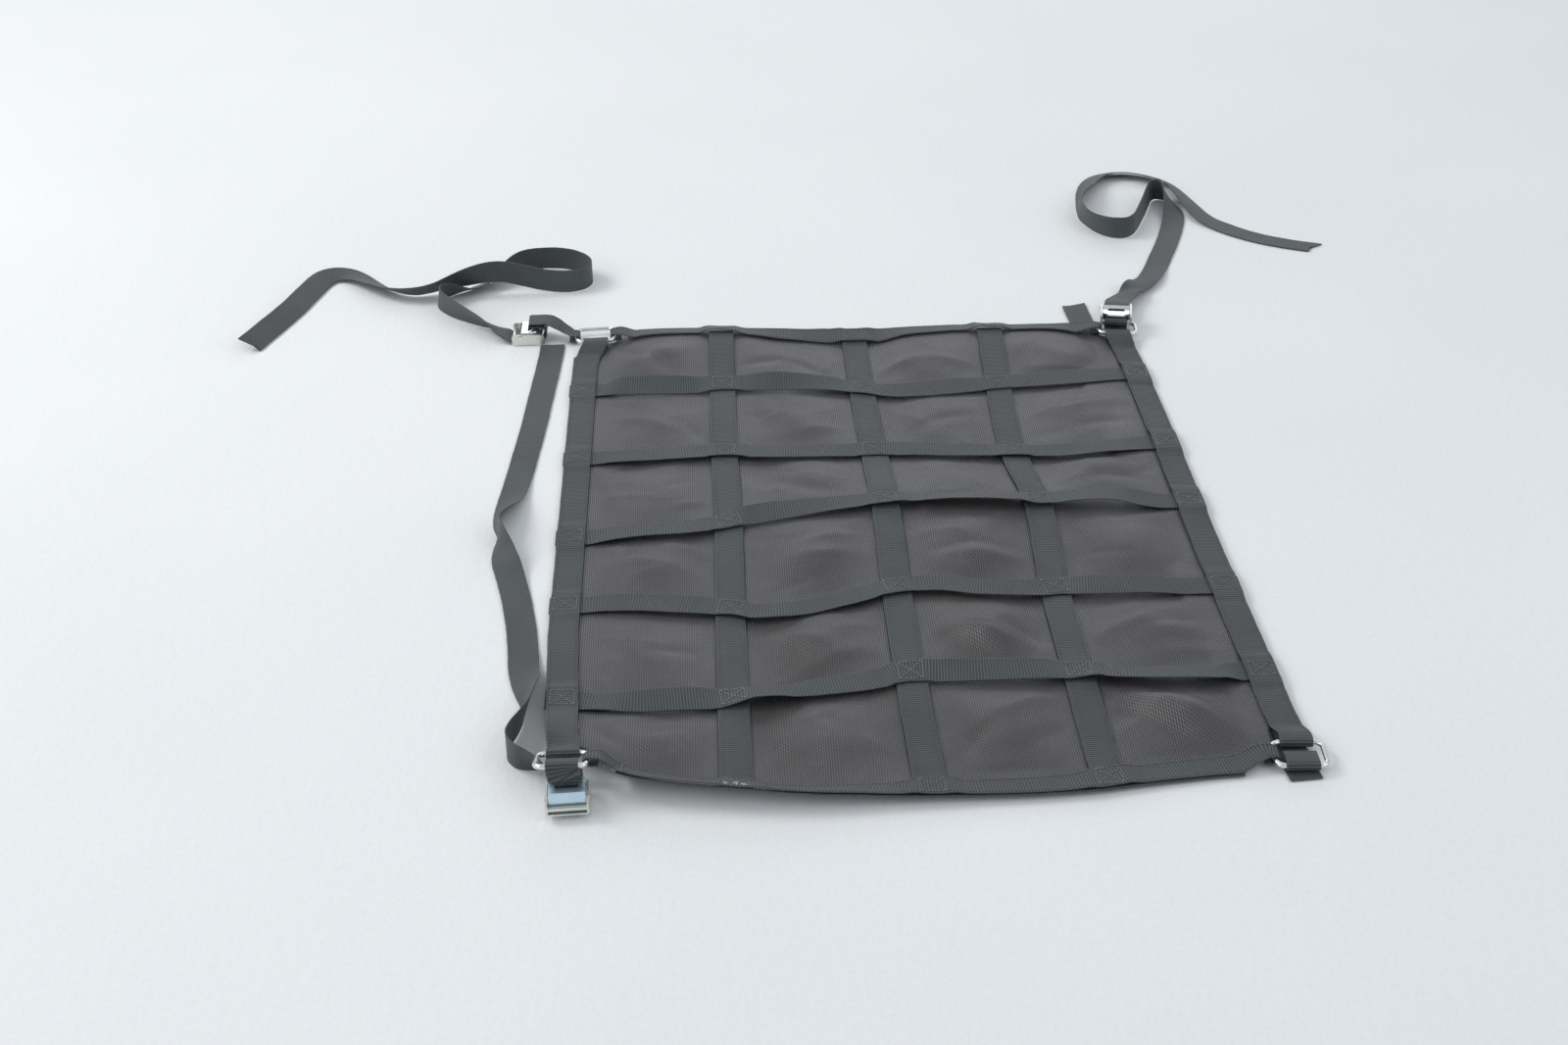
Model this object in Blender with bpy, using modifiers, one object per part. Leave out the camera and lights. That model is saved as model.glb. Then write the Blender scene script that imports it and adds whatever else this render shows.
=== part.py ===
"""Cargo net lying on a flat surface: a mesh sheet edged and crossed by flat webbing,
with a metal ring at each corner, small cam buckles on short tabs, and loose pull straps.

Lengths in the tables are millimetres, angles are degrees. X runs to the right along the
short side, Y away along the long side, Z up from the surface.
"""

import math

import bmesh
import bpy
import numpy as np
from mathutils import Matrix, Vector

# ------------------------------------------------------------------ driving dimensions
MM = 0.001
ORIGIN_X = -25.5  # centre of the footprint without the pull straps, in table coordinates
ORIGIN_Y = -8.7
WEB_W = 25.0  # webbing width
WEB_T = 1.3  # webbing thickness
MESH_T = 1.0  # coated mesh sheet
GAP = 0.5  # between layers that lie on each other
WIRE_D = 4.2  # ring wire
RING_L, RING_S, RING_R = 42.0, 33.0, 6.0  # ring: long side, short side, corner radius
WRAP_R = WIRE_D / 2 + 0.4 + WEB_T / 2  # middle of webbing folded round ring wire
BUCKLE_L, BUCKLE_W, BUCKLE_T = 33.5, 31.5, 1.6  # cam buckle: length, width, sheet
EAR_H = 11.8
BAR_R, BAR_U, BAR_Z = 1.6, 2.6, 4.3  # tab bar: radius, from the end, height
PIN_R, PIN_U, PIN_Z = 1.75, 24.5, 9.0  # cam pin
BORE = 0.3  # running gap round the pin
LEVER_W, LEVER_L = 27.2, 21.0  # cam lever: width, pin to the tip of the thumb plate
LEVER_RISE = {"buckle_tl": 8.0, "buckle_tr": -7.0, "buckle_bl": 8.0}  # the thumb plate's angle as it lies
FINE = 3.0  # spacing of the worked-out stations

# ------------------------------------------------------------------ where the net lies
# columns: x of the sewn lines from left border to right border
LINE_X = (-276.0, -138.0, 1.0, 136.0, 280.0)
# rows under the cross webbings: y at each line, height of the sheet at each line
CROSS_ROWS = (
    ((258.3, 257.0, 239.8, 241.8, 251.6), (0.0, 1.5, 0.5, 0.5, 0.0)),
    ((119.2, 120.0, 113.7, 102.3, 108.4), (0.0, 1.5, 1.0, 0.5, 0.0)),
    ((-24.6, -9.8, 1.7, -5.7, -2.3), (0.0, 1.5, 12.0, 10.0, 0.5)),
    ((-133.7, -149.7, -132.2, -137.1, -142.5), (0.0, 0.5, 5.0, 2.0, 0.5)),
    ((-280.7, -278.9, -259.3, -262.3, -268.2), (7.0, 1.0, 5.0, 3.0, 0.5)),
)
# far edge: x, y of the edge, height of the sheet there, height one webbing width in
FAR_EDGE = (
    (-291, 384, 0, 0), (-262, 388, 0, 0.3), (-235, 391, 0.3, 2.3), (-215, 389.5, 1.2, 6.5),
    (-199, 388.5, 2.2, 8.3), (-138, 384.5, 2.8, 9), (-110, 382, 2.8, 7.5), (-79, 379.5, 2.6, 3), (-50, 377, 2, 0.5),
    (-20, 370, 4.5, 0), (15, 369, 4, 0), (50, 376, 1, 4), (92, 376.5, 1.2, 6.5),
    (136, 371.5, 2.2, 8.6), (200, 369.8, 2.0, 8.4), (222, 369.5, 1.0, 5), (241, 369, 0, 1),
    (262, 361, 0, 0.3), (293, 352, 0, 0),
)
# near edge: the same columns
NEAR_EDGE = (
    (-291, -371, 25, 23.5), (-268, -375, 24.5, 22), (-252, -382, 23.5, 17),
    (-236, -389, 22.2, 11.5), (-214, -396.5, 20.5, 6.5), (-190, -401.5, 19, 3.6), (-138, -409.5, 17, 1.6),
    (-100, -415, 15, 0.8), (-65, -416.5, 12.8, 0.6), (-30, -416.5, 10, 0.8), (0, -416, 8, 0.6), (53, -416, 6, 0),
    (120, -413, 5, 0), (152, -408, 4, 0), (216, -400, 2.5, 0), (243, -398, 2, 0.5),
    (261, -392, 2, 2), (293, -387, 2, 2),
)
# outer edge of the side borders: y, x
LEFT_EDGE = ((400, -290), (371, -289), (-164, -289), (-226, -287), (-300, -283.5), (-345, -282), (-420, -282))
RIGHT_EDGE = ((400, 281), (360, 283), (294, 285), (147, 287.5), (-92, 288), (-208, 290), (-361, 292), (-420, 292))
# slack of the sheet in each bay, far row first, left bay first
BAY_RISE = (
    (6, 4, 5, 6),
    (5, 7, 5, 6),
    (5, 6, 4, 5),
    (7, 9, 9, 8),
    (6, 8, 8, 7),
    (8, 7, 6, 8),
)
# long soft creases in the sheet: from x, y to x, y, height, half width
CREASES = (
    (150, -283, 262, -372, 5.0, 15.0),
    (20, -180, 118, -250, 4.0, 13.0),
    (-118, 60, -20, 20, -3.5, 12.0),
    (-250, 300, -160, 340, 3.5, 13.0),
    (160, 50, 250, 80, 3.5, 14.0),
    (-120, -180, -40, -235, 4.0, 14.0),
    (160, -190, 255, -215, 3.0, 14.0),
    (-245, -330, -165, -300, -4.0, 13.0),
)
# webbings on the sheet: rows of y, x
LONG_WEBS = {
    "strap_v1": ((400, -137.5), (269, -138), (131, -139), (12, -137.5), (-215, -139), (-420, -139)),
    "strap_v2": ((400, -1), (265, -1), (89, 1.5), (-47, 2.5), (-162, 1), (-296, 2), (-420, 5)),
    "strap_v3": ((400, 140), (278, 136), (140, 131), (74, 132.5), (-14, 138), (-164, 134), (-420, 136)),
}
# cross webbings: rows of column number (0 left border, 4 right border), y, height of
# the middle, and bank with the far edge raised
COL0, COL_PITCH = -275.0, 137.5
CROSS_WEBS = {
    "strap_h1": (
        (0.12, 258.0, 2.4, 0), (0.30, 256.6, 5, 20), (0.73, 253.3, 5.5, 18), (1, 257, 5, 5),
        (1.39, 250.7, 10, 20), (1.72, 248.8, 7, 6), (2, 239.8, 4.3, -3), (2.28, 230.5, 5.5, 5),
        (2.57, 233.2, 6, 10), (3, 241.8, 4.3, 2), (3.29, 243.3, 6, 6), (3.58, 246.8, 5.5, 5),
        (3.87, 250.8, 2.4, 0),
    ),
    "strap_h2": (
        (0.10, 119.3, 2.4, 0), (0.19, 119.6, 3, -3), (0.46, 116.3, 6, -3), (0.73, 118.1, 6, -4),
        (1, 120.9, 4.5, -4), (1.26, 113.8, 6.5, -4), (1.6, 110.5, 7, -3), (2, 113.7, 4.5, 0),
        (2.27, 110.2, 6, 0), (2.6, 103.8, 6.5, -2), (3, 102.3, 4.3, -6), (3.27, 96.7, 6.5, -3),
        (3.61, 103.1, 6, -4), (3.9, 108.0, 2.4, 0),
    ),
    "strap_h3": (
        (0.10, -23.6, 2.4, 0), (0.16, -22.8, 3, -3), (0.41, -19.5, 5, -6), (0.72, -17.8, 6, -4),
        (1, -9.8, 5, 0), (1.17, -5.4, 9, 15), (1.43, -2.7, 12, 8), (1.69, -1.2, 15, -2),
        (2, 1.7, 16, -8), (2.18, 1.2, 15.5, -14), (2.53, -1.8, 15, -21), (2.85, -4.2, 14, -18),
        (3, -5.7, 14, -8), (3.24, -3.4, 16, -8), (3.5, -1.9, 15, -4), (3.68, -2.3, 10, 4),
        (3.9, -1.0, 3, 0),
    ),
    "strap_h4": (
        (0.09, -133.6, 2.4, 0), (0.12, -133.4, 3, 1), (0.42, -136.3, 5, 2), (0.72, -143.4, 6, 3),
        (1, -149.7, 4.3, -4), (1.2, -159.4, 7, -6), (1.44, -157.9, 8, -4), (1.68, -147.2, 8.5, -4),
        (2, -132.2, 9, -4), (2.23, -130.4, 10, -2), (2.53, -139.3, 10, -2), (2.83, -141, 8.5, 0),
        (3, -137.1, 6, 0), (3.25, -140.7, 9, 7), (3.55, -141.4, 8, 4), (3.9, -142.5, 2.8, 0),
    ),
    "strap_h5": (
        (0.09, -281, 3.0, 0), (0.16, -282, 7, -10), (0.44, -285.7, 10, 8), (0.72, -283.2, 9, 11),
        (1, -278.9, 4.5, -6), (1.17, -277.3, 6, -20), (1.45, -274, 8, -5), (1.74, -269.3, 9, 0),
        (2, -259.3, 9, 8), (2.2, -260.9, 11, 12), (2.48, -263.7, 12, 8), (2.77, -263.4, 11, 4),
        (3, -262.3, 7, -6), (3.21, -269.6, 9, -18), (3.55, -274, 10, -15), (3.83, -271, 6, -10),
        (3.93, -269, 3.2, 0),
    ),
}
# corner rings: centre x, y, z, turn about Z, rise of the near bar
RINGS = {
    "ring_tl": (-268.0, 376.0, 6.0, 3.0, 0.0),
    "ring_tr": (271.5, 350.5, 6.4, -8.0, 6.0),
    "ring_bl": (-266.5, -382.0, 28.0, 0.0, 18.0),
    "ring_br": (281.5, -381.0, 6.6, -3.0, 0.0),
}
# cam buckles: x, y, z of the middle of the tab end, heading towards the strap end
BUCKLES = {
    "buckle_tl": (-320.5, 384.7, 0.0, 180.0),
    "buckle_tr": (268.8, 345.6, 11.2, 79.8),
    "buckle_bl": (-263.5, -384.5, 4.2, -87.5),
}
# loose pull straps: rows of x, y, height of the middle, bank (left edge of travel raised)
STRAP_TL = (
    (-333, 384.7, 2.55, 0), (-345, 384.7, 2.6, 0), (-354.5, 384.9, 2.9, 0), (-363, 387.5, 7.0, 10),
    (-372, 396, 10.0, 30), (-382, 404, 10.0, 48), (-396, 415, 11.0, 62), (-410, 428, 12.0, 74),
    (-424, 443, 12.8, 84), (-435, 459, 13.1, 92), (-437.5, 472, 12.9, 102), (-430, 484.5, 11.2, 122),
    (-419, 492.5, 8.2, 142), (-407.5, 499.5, 6.2, 156), (-396.5, 509, 6.2, 156), (-385.5, 521.5, 8.6, 138),
    (-374, 535, 11.8, 113), (-364, 547, 12.8, 100), (-351, 557, 13.2, 92), (-334, 561, 13.2, 90), (-315, 560, 13.2, 90), (-297, 553, 13.2, 90),
    (-284, 541, 13.2, 90), (-277, 527, 13.2, 90), (-277, 514, 13.2, 90), (-285, 502, 13.2, 90),
    (-303, 496.5, 13.4, 92), (-326, 498, 15.2, 92), (-350, 500.5, 20.5, 91), (-371, 500.5, 25.4, 88),
    (-388, 498, 26.2, 83), (-403, 497, 23.6, 74), (-421, 497.5, 18.4, 60), (-437, 496.5, 14.0, 50),
    (-450, 493.5, 11.4, 46), (-464, 490.5, 10.2, 43), (-480, 493, 9.2, 38), (-495.6, 502.3, 8.0, 32),
    (-510, 517, 6.6, 26), (-523, 532.5, 5.2, 17), (-535.5, 546, 4.4, 6), (-549, 553.5, 4.6, -6),
    (-561.5, 552, 5.4, -14), (-570, 542.5, 6.0, -20), (-575.5, 528, 6.5, -24), (-583, 501, 7.0, -27),
    (-594, 462, 7.3, -29), (-602.7, 437.3, 7.5, -30), (-614.2, 406.4, 7.7, -31), (-624.6, 377.8, 8.0, -33),
)
STRAP_TR = (
    (271.1, 358.5, 13.75, 0), (272.8, 368, 13.75, 0), (274.8, 379, 13.8, 0), (276.8, 389, 15.5, 0),
    (280.3, 400, 13.8, 0), (286, 412, 10.5, -4), (293, 424, 9.0, -10), (299, 434, 8.8, -15), (305, 443, 8.8, 10),
    (311, 452, 7.8, 13), (318, 461, 5.6, 2), (327, 475, 4.0, -6), (335, 492, 2.6, -4), (343, 512, 1.2, 0),
    (352, 536, 1.0, 0), (362, 562, 1.0, 0), (372, 590, 1.0, 0), (381, 618, 1.2, 2),
    (388, 645, 2.6, 12), (390.5, 668, 6.0, 32), (388.5, 688, 10.0, 58), (383, 700, 12.6, 80),
    (376.5, 703, 13.3, 92), (370, 697, 13.3, 96), (364, 682, 13.2, 98), (357, 662, 13.1, 97),
    (349, 640, 13.1, 96), (340, 617, 13.2, 94), (333, 603, 13.2, 92), (323.5, 594.5, 13.2, 90),
    (311.5, 594.5, 13.2, 88), (300, 601, 13.0, 84), (290.5, 613, 12.9, 80), (284, 629, 12.9, 82),
    (281, 650, 13.1, 92), (284, 673, 12.8, 106), (290.5, 698, 11.3, 124), (299.5, 728, 7.6, 148),
    (308, 750, 5.8, 158), (320, 767, 5.6, 159), (332, 774, 5.7, 158), (346, 776.5, 5.8, 158), (360, 774, 5.8, 158),
    (374, 766.5, 5.8, 157), (385, 756.5, 6.0, 156), (395, 743, 6.6, 152), (401, 728, 7.4, 148), (405.6, 709, 7.0, 150), (412.7, 675, 5.1, 160), (422, 639, 2.6, 172),
    (442, 609.5, 1.1, 180), (467, 584, 1.0, 180), (495, 565, 1.0, 180), (525.5, 550.5, 1.0, 180),
)
# from under the cam, down past the tab and away to the far corner
STRAP_BL = (
    (-262.3, -412.5, 6.75, 0), (-262.8, -400.5, 6.75, 0), (-263.0, -395.5, 6.75, 0),
    (-263.1, -392.4, 6.7, 0), (-263.2, -390.9, 5.8, 0), (-263.3, -389.6, 4.3, 0), (-263.4, -387.8, 3.2, 0),
    (-263.6, -383.5, 2.4, 0), (-265, -379, 2.4, 2), (-269.5, -373.5, 3.8, 15), (-276, -368.0, 7.2, 38),
    (-285, -363.5, 10.6, 60), (-294, -359.5, 12.3, 75), (-303, -355, 13.0, 86),
    (-309, -347, 13.2, 90), (-311, -337, 13.2, 91), (-308.5, -325, 13.1, 94), (-304, -313, 12.8, 98),
    (-300, -300, 12.4, 104), (-298.5, -286, 11.5, 112), (-299, -271, 9.5, 126), (-301, -256, 6.5, 146),
    (-303.5, -241, 3.6, 163), (-306, -224, 1.8, 174), (-308, -200, 1.1, 179), (-311, -170, 1.0, 180),
    (-316, -135, 1.0, 180), (-322, -102, 1.3, 178), (-328, -76, 3.0, 168), (-333.5, -56, 6.5, 146),
    (-337.5, -38, 10.2, 118), (-339.5, -20, 11.6, 98), (-339.5, 0, 10.0, 122), (-337, 22, 6.2, 148),
    (-333.5, 48, 3.0, 168), (-330, 84, 1.2, 178), (-326, 132, 1.0, 180), (-321.5, 190, 1.0, 180),
    (-318, 250, 1.0, 180), (-314.5, 306, 1.0, 180), (-312.5, 345, 1.0, 180), (-312, 366, 1.0, 180),
)
# under the right border, its end showing behind the far edge
STRAP_BR = (
    (281.5, -405, 1.05, 0), (279.5, -380, 1.05, 0), (276.5, -340, 1.05, 0), (270, -250, 1.05, 0),
    (262, -120, 1.05, 0), (254, 20, 1.05, 0), (247, 160, 1.05, 0), (242.5, 280, 1.05, 0),
    (240, 355, 1.05, 0), (238.5, 395, 1.05, 0), (237.5, 420, 1.05, 0),
)
CUT_SLANT = {"strap_tl": -0.35, "strap_tr": -0.70, "strap_br": -0.3, "strap_bl": 0.0}


# ------------------------------------------------------------------ curves from tables
def along(table, at):
    """Smooth reading of a table of rows (position, value, ...) at positions `at`."""
    rows = sorted(tuple(float(v) for v in row) for row in table)
    t = np.array([row[0] for row in rows])
    values = np.array([row[1:] for row in rows])
    slope = np.diff(values, axis=0) / np.diff(t)[:, None]
    flat = np.vstack([slope[:1], (slope[1:] + slope[:-1]) / 2, slope[-1:]])
    for i in range(1, len(t) - 1):  # no overshoot at a turning point
        flat[i] = np.where(slope[i - 1] * slope[i] <= 0, 0, flat[i])
    at = np.clip(np.atleast_1d(np.asarray(at, float)), t[0], t[-1])
    i = np.clip(np.searchsorted(t, at, side="right") - 1, 0, len(t) - 2)
    d = (t[i + 1] - t[i])[:, None]
    f = ((at - t[i])[:, None]) / d
    a, b = values[i], values[i + 1]
    ma, mb = flat[i] * d, flat[i + 1] * d
    return (
        (2 * f**3 - 3 * f**2 + 1) * a
        + (f**3 - 2 * f**2 + f) * ma
        + (3 * f**2 - 2 * f**3) * b
        + (f**3 - f**2) * mb
    )


def smooth_through(rows, step):
    """Points every `step` along a smooth curve through rows whose first three columns are a place."""
    rows = np.asarray(rows, float)
    gaps = np.linalg.norm(np.diff(rows[:, :3], axis=0), axis=1)
    t = np.concatenate([[0], np.cumsum(np.maximum(gaps, 1e-6) ** 0.5)])
    first = rows[0] + (rows[0] - rows[1])
    last = rows[-1] + (rows[-1] - rows[-2])
    pts = np.vstack([first, rows, last])
    tt = np.concatenate([[t[0] - (t[1] - t[0])], t, [t[-1] + (t[-1] - t[-2])]])
    out = []
    for i in range(len(rows) - 1):
        p0, p1, p2, p3 = pts[i : i + 4]
        t0, t1, t2, t3 = tt[i : i + 4]
        count = max(1, int(math.ceil(gaps[i] / step)))
        for k in range(count):
            s = t1 + (t2 - t1) * k / count
            a1 = (t1 - s) / (t1 - t0) * p0 + (s - t0) / (t1 - t0) * p1
            a2 = (t2 - s) / (t2 - t1) * p1 + (s - t1) / (t2 - t1) * p2
            a3 = (t3 - s) / (t3 - t2) * p2 + (s - t2) / (t3 - t2) * p3
            b1 = (t2 - s) / (t2 - t0) * a1 + (s - t0) / (t2 - t0) * a2
            b2 = (t3 - s) / (t3 - t1) * a2 + (s - t1) / (t3 - t1) * a3
            out.append((t2 - s) / (t2 - t1) * b1 + (s - t1) / (t2 - t1) * b2)
    out.append(rows[-1])
    return np.array(out)


def tangents(points):
    d = np.gradient(points, axis=0)
    return d / np.linalg.norm(d, axis=1)[:, None]


def square_to(sides, t):
    sides = sides - (sides * t).sum(1)[:, None] * t
    return sides / np.linalg.norm(sides, axis=1)[:, None]


# ------------------------------------------------------------------ the sheet's surface
def row_lines(x):
    """y and sheet height of the nine lines that cross the net at x, far edge first."""
    x = np.atleast_1d(np.asarray(x, float))
    far, near = along(FAR_EDGE, x), along(NEAR_EDGE, x)
    ys, hs = [far[:, 0]], [far[:, 1]]
    ys.append(far[:, 0] - np.sqrt(WEB_W**2 - (far[:, 2] - far[:, 1]) ** 2))
    hs.append(far[:, 2])
    for y5, h5 in CROSS_ROWS:
        both = along(tuple(zip(LINE_X, y5, h5)), x)
        ys.append(both[:, 0])
        hs.append(both[:, 1])
    ys.append(near[:, 0] + np.sqrt(WEB_W**2 - (near[:, 2] - near[:, 1]) ** 2))
    hs.append(near[:, 2])
    ys.append(near[:, 0])
    hs.append(near[:, 1])
    return np.array(ys), np.array(hs)


def sheet_height(x, y, creases=True):
    """Height of the underside of the sheet."""
    x, y = np.broadcast_arrays(np.atleast_1d(np.asarray(x, float)), np.asarray(y, float))
    x, y = x.ravel(), y.ravel()
    ys, hs = row_lines(x)
    h = np.where(y >= ys[0], hs[0], np.where(y <= ys[8], hs[8], 0.0))
    for k in range(8):
        f = (ys[k] - y) / (ys[k] - ys[k + 1])
        inside = (f >= 0) & (f <= 1)
        blend = f if k in (0, 7) else f * f * (3 - 2 * f)
        here = hs[k] + (hs[k + 1] - hs[k]) * blend
        if 1 <= k <= 6:
            for c in range(4):
                a = (x - LINE_X[c] - WEB_W / 2) / (LINE_X[c + 1] - LINE_X[c] - WEB_W)
                window = np.sin(np.pi * np.clip(a, 0, 1)) ** 2 * np.sin(np.pi * np.clip(f, 0, 1)) ** 2
                here = here + BAY_RISE[k - 1][c] * window
        h = np.where(inside, here, h)
    if creases:
        for x0, y0, x1, y1, rise, half in CREASES:
            long = math.hypot(x1 - x0, y1 - y0)
            ex, ey = (x1 - x0) / long, (y1 - y0) / long
            s = (x - x0) * ex + (y - y0) * ey
            d = -(x - x0) * ey + (y - y0) * ex
            h = h + rise * np.sin(np.pi * np.clip(s / long, 0, 1)) ** 2 * np.exp(-((d / half) ** 2))
    under = along([(row[1], row[0]) for row in STRAP_BR], y)[:, 0]
    ramp = np.clip((np.abs(x - under) - WEB_W / 2 - 9.0) / 12.0, 0, 1)
    lift = (WEB_T + 2 * GAP + 0.15) * (1 - ramp * ramp * (3 - 2 * ramp))
    return np.maximum(np.maximum(h - 0.35, lift), 0.0)  # flat where it meets the surface


def sheet_top(x, y):
    return sheet_height(x, y) + MESH_T


# ------------------------------------------------------------------ webbing laid on things
def laid(centre, side, tops, bank=None, clear=GAP, width=WEB_W, reach=5.0, soft=4):
    """Middle line and side vectors of webbing laid over `tops`, each a height function.
    centre: (n, 2) places; side: (n, 2) unit vectors to its left edge."""
    n = len(centre)
    run = np.gradient(centre, axis=0)
    run /= np.linalg.norm(run, axis=1)[:, None]
    ks = np.linspace(-width / 2, width / 2, 7)
    need = np.full((n, len(ks)), -1e9)
    for j in (-reach, -reach / 2, 0, reach / 2, reach):
        for i, k in enumerate(ks):
            x = centre[:, 0] + k * side[:, 0] + j * run[:, 0]
            y = centre[:, 1] + k * side[:, 1] + j * run[:, 1]
            for top in tops:
                need[:, i] = np.maximum(need[:, i], top(x, y))
    if bank is None:
        tilt = (need[:, -1] - need[:, 0]) / width
        tilt = running(tilt, soft)
    else:
        tilt = np.tan(np.radians(bank))
    z = (need - ks[None, :] * tilt[:, None]).max(1) + clear + WEB_T / 2 * np.sqrt(1 + tilt**2)
    z = running(np.array([z[max(0, i - 1) : i + 2].max() for i in range(n)]), 1)
    cos = 1 / np.sqrt(1 + tilt**2)
    points = np.column_stack([centre, z])
    sides = np.column_stack([side * cos[:, None], tilt * cos])
    return points, sides


def running(values, half):
    """Running mean, the ends kept."""
    values = np.asarray(values, float)
    return np.array([
        values[max(0, i - half) : i + half + 1].mean(axis=0) if half <= i < len(values) - half else values[i]
        for i in range(len(values))
    ])


def strip_top(points, sides, axis, width=WEB_W, lo=-1e9, hi=1e9):
    """Height function of the upper face of webbing that runs along axis 0 (x) or 1 (y)."""
    order = np.argsort(points[:, axis])
    p, s = points[order], sides[order]
    flat = s[:, :2] / np.linalg.norm(s[:, :2], axis=1)[:, None]
    tilt = s[:, 2] / np.linalg.norm(s[:, :2], axis=1)

    def top(x, y):
        m = x if axis == 0 else y
        c = [np.interp(m, p[:, axis], p[:, i]) for i in range(3)]
        f = [np.interp(m, p[:, axis], flat[:, i]) for i in range(2)]
        t = np.interp(m, p[:, axis], tilt)
        k = (x - c[0]) * f[0] + (y - c[1]) * f[1]
        inside = (np.abs(k) <= width / 2 + 0.6) & (m >= p[0, axis] - 0.6) & (m <= p[-1, axis] + 0.6)
        inside &= (m >= lo) & (m <= hi)
        return np.where(inside, c[2] + k * t + WEB_T / 2 * np.sqrt(1 + t * t), -1e9)

    return top


def round_bar(centre, across, out, up, radius, first, last, step=30.0):
    """Points of webbing folded round a bar: angle 0 is on top, 90 on the `out` side."""
    count = max(2, int(abs(last - first) / step) + 1)
    angles = np.radians(np.linspace(first, last, count))
    centre, out, up = (np.asarray(v, float) for v in (centre, out, up))
    return [(centre + radius * (up * math.cos(a) + out * math.sin(a)), across) for a in angles]


def rows7(points, sides, width=WEB_W):
    width = np.broadcast_to(width, (len(points),))
    return np.column_stack([points, sides, width])


def bar_of(ring, which):
    """Middle, direction, outward and up vectors of one bar of a ring: near, far, left or right."""
    x, y, z, turn, rise = RINGS[ring]
    m = Matrix.Rotation(math.radians(turn), 3, "Z") @ Matrix.Rotation(math.radians(-rise), 3, "X")
    ax, ay, az = (np.array(m @ Vector(v)) for v in ((1, 0, 0), (0, 1, 0), (0, 0, 1)))
    long, short = (RING_L - WIRE_D) / 2, (RING_S - WIRE_D) / 2
    c = np.array([x, y, z])
    return {
        "near": (c - short * ay, ax, -ay, az),
        "far": (c + short * ay, ax, ay, az),
        "left": (c - long * ax, ay, -ax, az),
        "right": (c + long * ax, ay, ax, az),
    }[which]


def fold_on(bar, across, into, tail, width, lead=8.0, turn=180.0):
    """Rows that take webbing over a bar, round it and back under it. `into` is the way
    the webbing travels over the bar."""
    c, up = bar[0], bar[3]
    into, across = np.asarray(into, float), np.asarray(across, float)
    rows = [np.concatenate([c + up * WRAP_R - into * lead, across, [(WEB_W + width) / 2]])]
    rows += [np.concatenate([q, v, [width]]) for q, v in round_bar(c, across, into, up, WRAP_R, 0, turn, 22.5)]
    rows.append(np.concatenate([c - up * WRAP_R - into * tail, across, [width]]))
    return rows


def between_bars(points, sides, start_bar, end_bar, sign, tails=(8.0, 8.0), width=WEB_W, keep=22.0):
    """Laid webbing whose two ends are folded round bars."""
    first, last = start_bar[0], end_bar[0]
    out_a, out_b = -np.asarray(start_bar[2], float), -np.asarray(end_bar[2], float)
    inside = ((points - first) @ out_a < -keep) & ((points - last) @ out_b < -keep)
    middle = [np.concatenate([q, v, [WEB_W]]) for q, v in zip(points[inside][::2], sides[inside][::2])]
    head = fold_on(start_bar, sign * start_bar[1], out_a, tails[0], width)
    tail = fold_on(end_bar, sign * end_bar[1], out_b, tails[1], width)
    return np.array(head[::-1] + middle + tail)


# ------------------------------------------------------------------ making the solids
def material(name, colour, roughness, metallic):
    made = bpy.data.materials.new(name)
    made.use_nodes = True
    shader = made.node_tree.nodes["Principled BSDF"]
    shader.inputs["Base Color"].default_value = (*colour, 1)
    shader.inputs["Roughness"].default_value = roughness
    shader.inputs["Metallic"].default_value = metallic
    made.diffuse_color = (*colour, 1)
    return made


def place(obj, collection):
    collection.objects.link(obj)
    return obj


def thinned(left, right, allowed):
    """Stations to keep so that both edges stay within `allowed` of the full ones."""
    keep = {0, len(left) - 1}
    spans = [(0, len(left) - 1)]
    while spans:
        a, b = spans.pop()
        if b - a < 2:
            continue
        f = np.linspace(0, 1, b - a + 1)[1:-1, None]
        worst = np.zeros(b - a - 1)
        for edge in (left, right):
            chord = edge[b] - edge[a]
            size = max(np.linalg.norm(chord), 1e-9)
            off = edge[a + 1 : b] - edge[a]
            away = off - (off @ chord)[:, None] / size**2 * chord
            worst = np.maximum(worst, np.linalg.norm(away, axis=1))
        i = int(worst.argmax())
        if worst[i] > allowed:
            keep.add(a + 1 + i)
            spans += [(a, a + 1 + i), (a + 1 + i, b)]
    return sorted(keep)


def sheet_object(name, mesh, thickness, offset, mat, collection):
    obj = place(bpy.data.objects.new(name, mesh), collection)
    mesh.materials.append(mat)
    solid = obj.modifiers.new("Thickness", "SOLIDIFY")
    solid.thickness = thickness * MM
    solid.offset = offset
    solid.use_even_offset = True
    solid.use_rim = True
    return obj


def webbing(name, rows, mat, collection, allowed=0.22, slant=0.0, longest=60.0):
    """Webbing along rows of place, side vector and width, as an open strip with thickness."""
    rows = smooth_through(rows, FINE)
    p = rows[:, :3]
    s = square_to(rows[:, 3:6], tangents(p))
    half = rows[:, 6:7] / 2
    left, right = p + s * half, p - s * half
    if slant:  # the cut end is on the slant
        end = tangents(p)[-1] * slant * half[-1]
        left[-1], right[-1] = left[-1] + end, right[-1] - end
    keep = thinned(left, right, allowed)
    shape = bmesh.new()
    for i in keep:
        shape.verts.new(Vector(right[i]) * MM)
        shape.verts.new(Vector(left[i]) * MM)
    shape.verts.ensure_lookup_table()
    for k in range(len(keep) - 1):
        a = 2 * k
        shape.faces.new([shape.verts[j] for j in (a, a + 2, a + 3, a + 1)])
    mesh = bpy.data.meshes.new(name)
    shape.to_mesh(mesh)
    shape.free()
    return sheet_object(name, mesh, WEB_T, 0.0, mat, collection)


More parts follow.
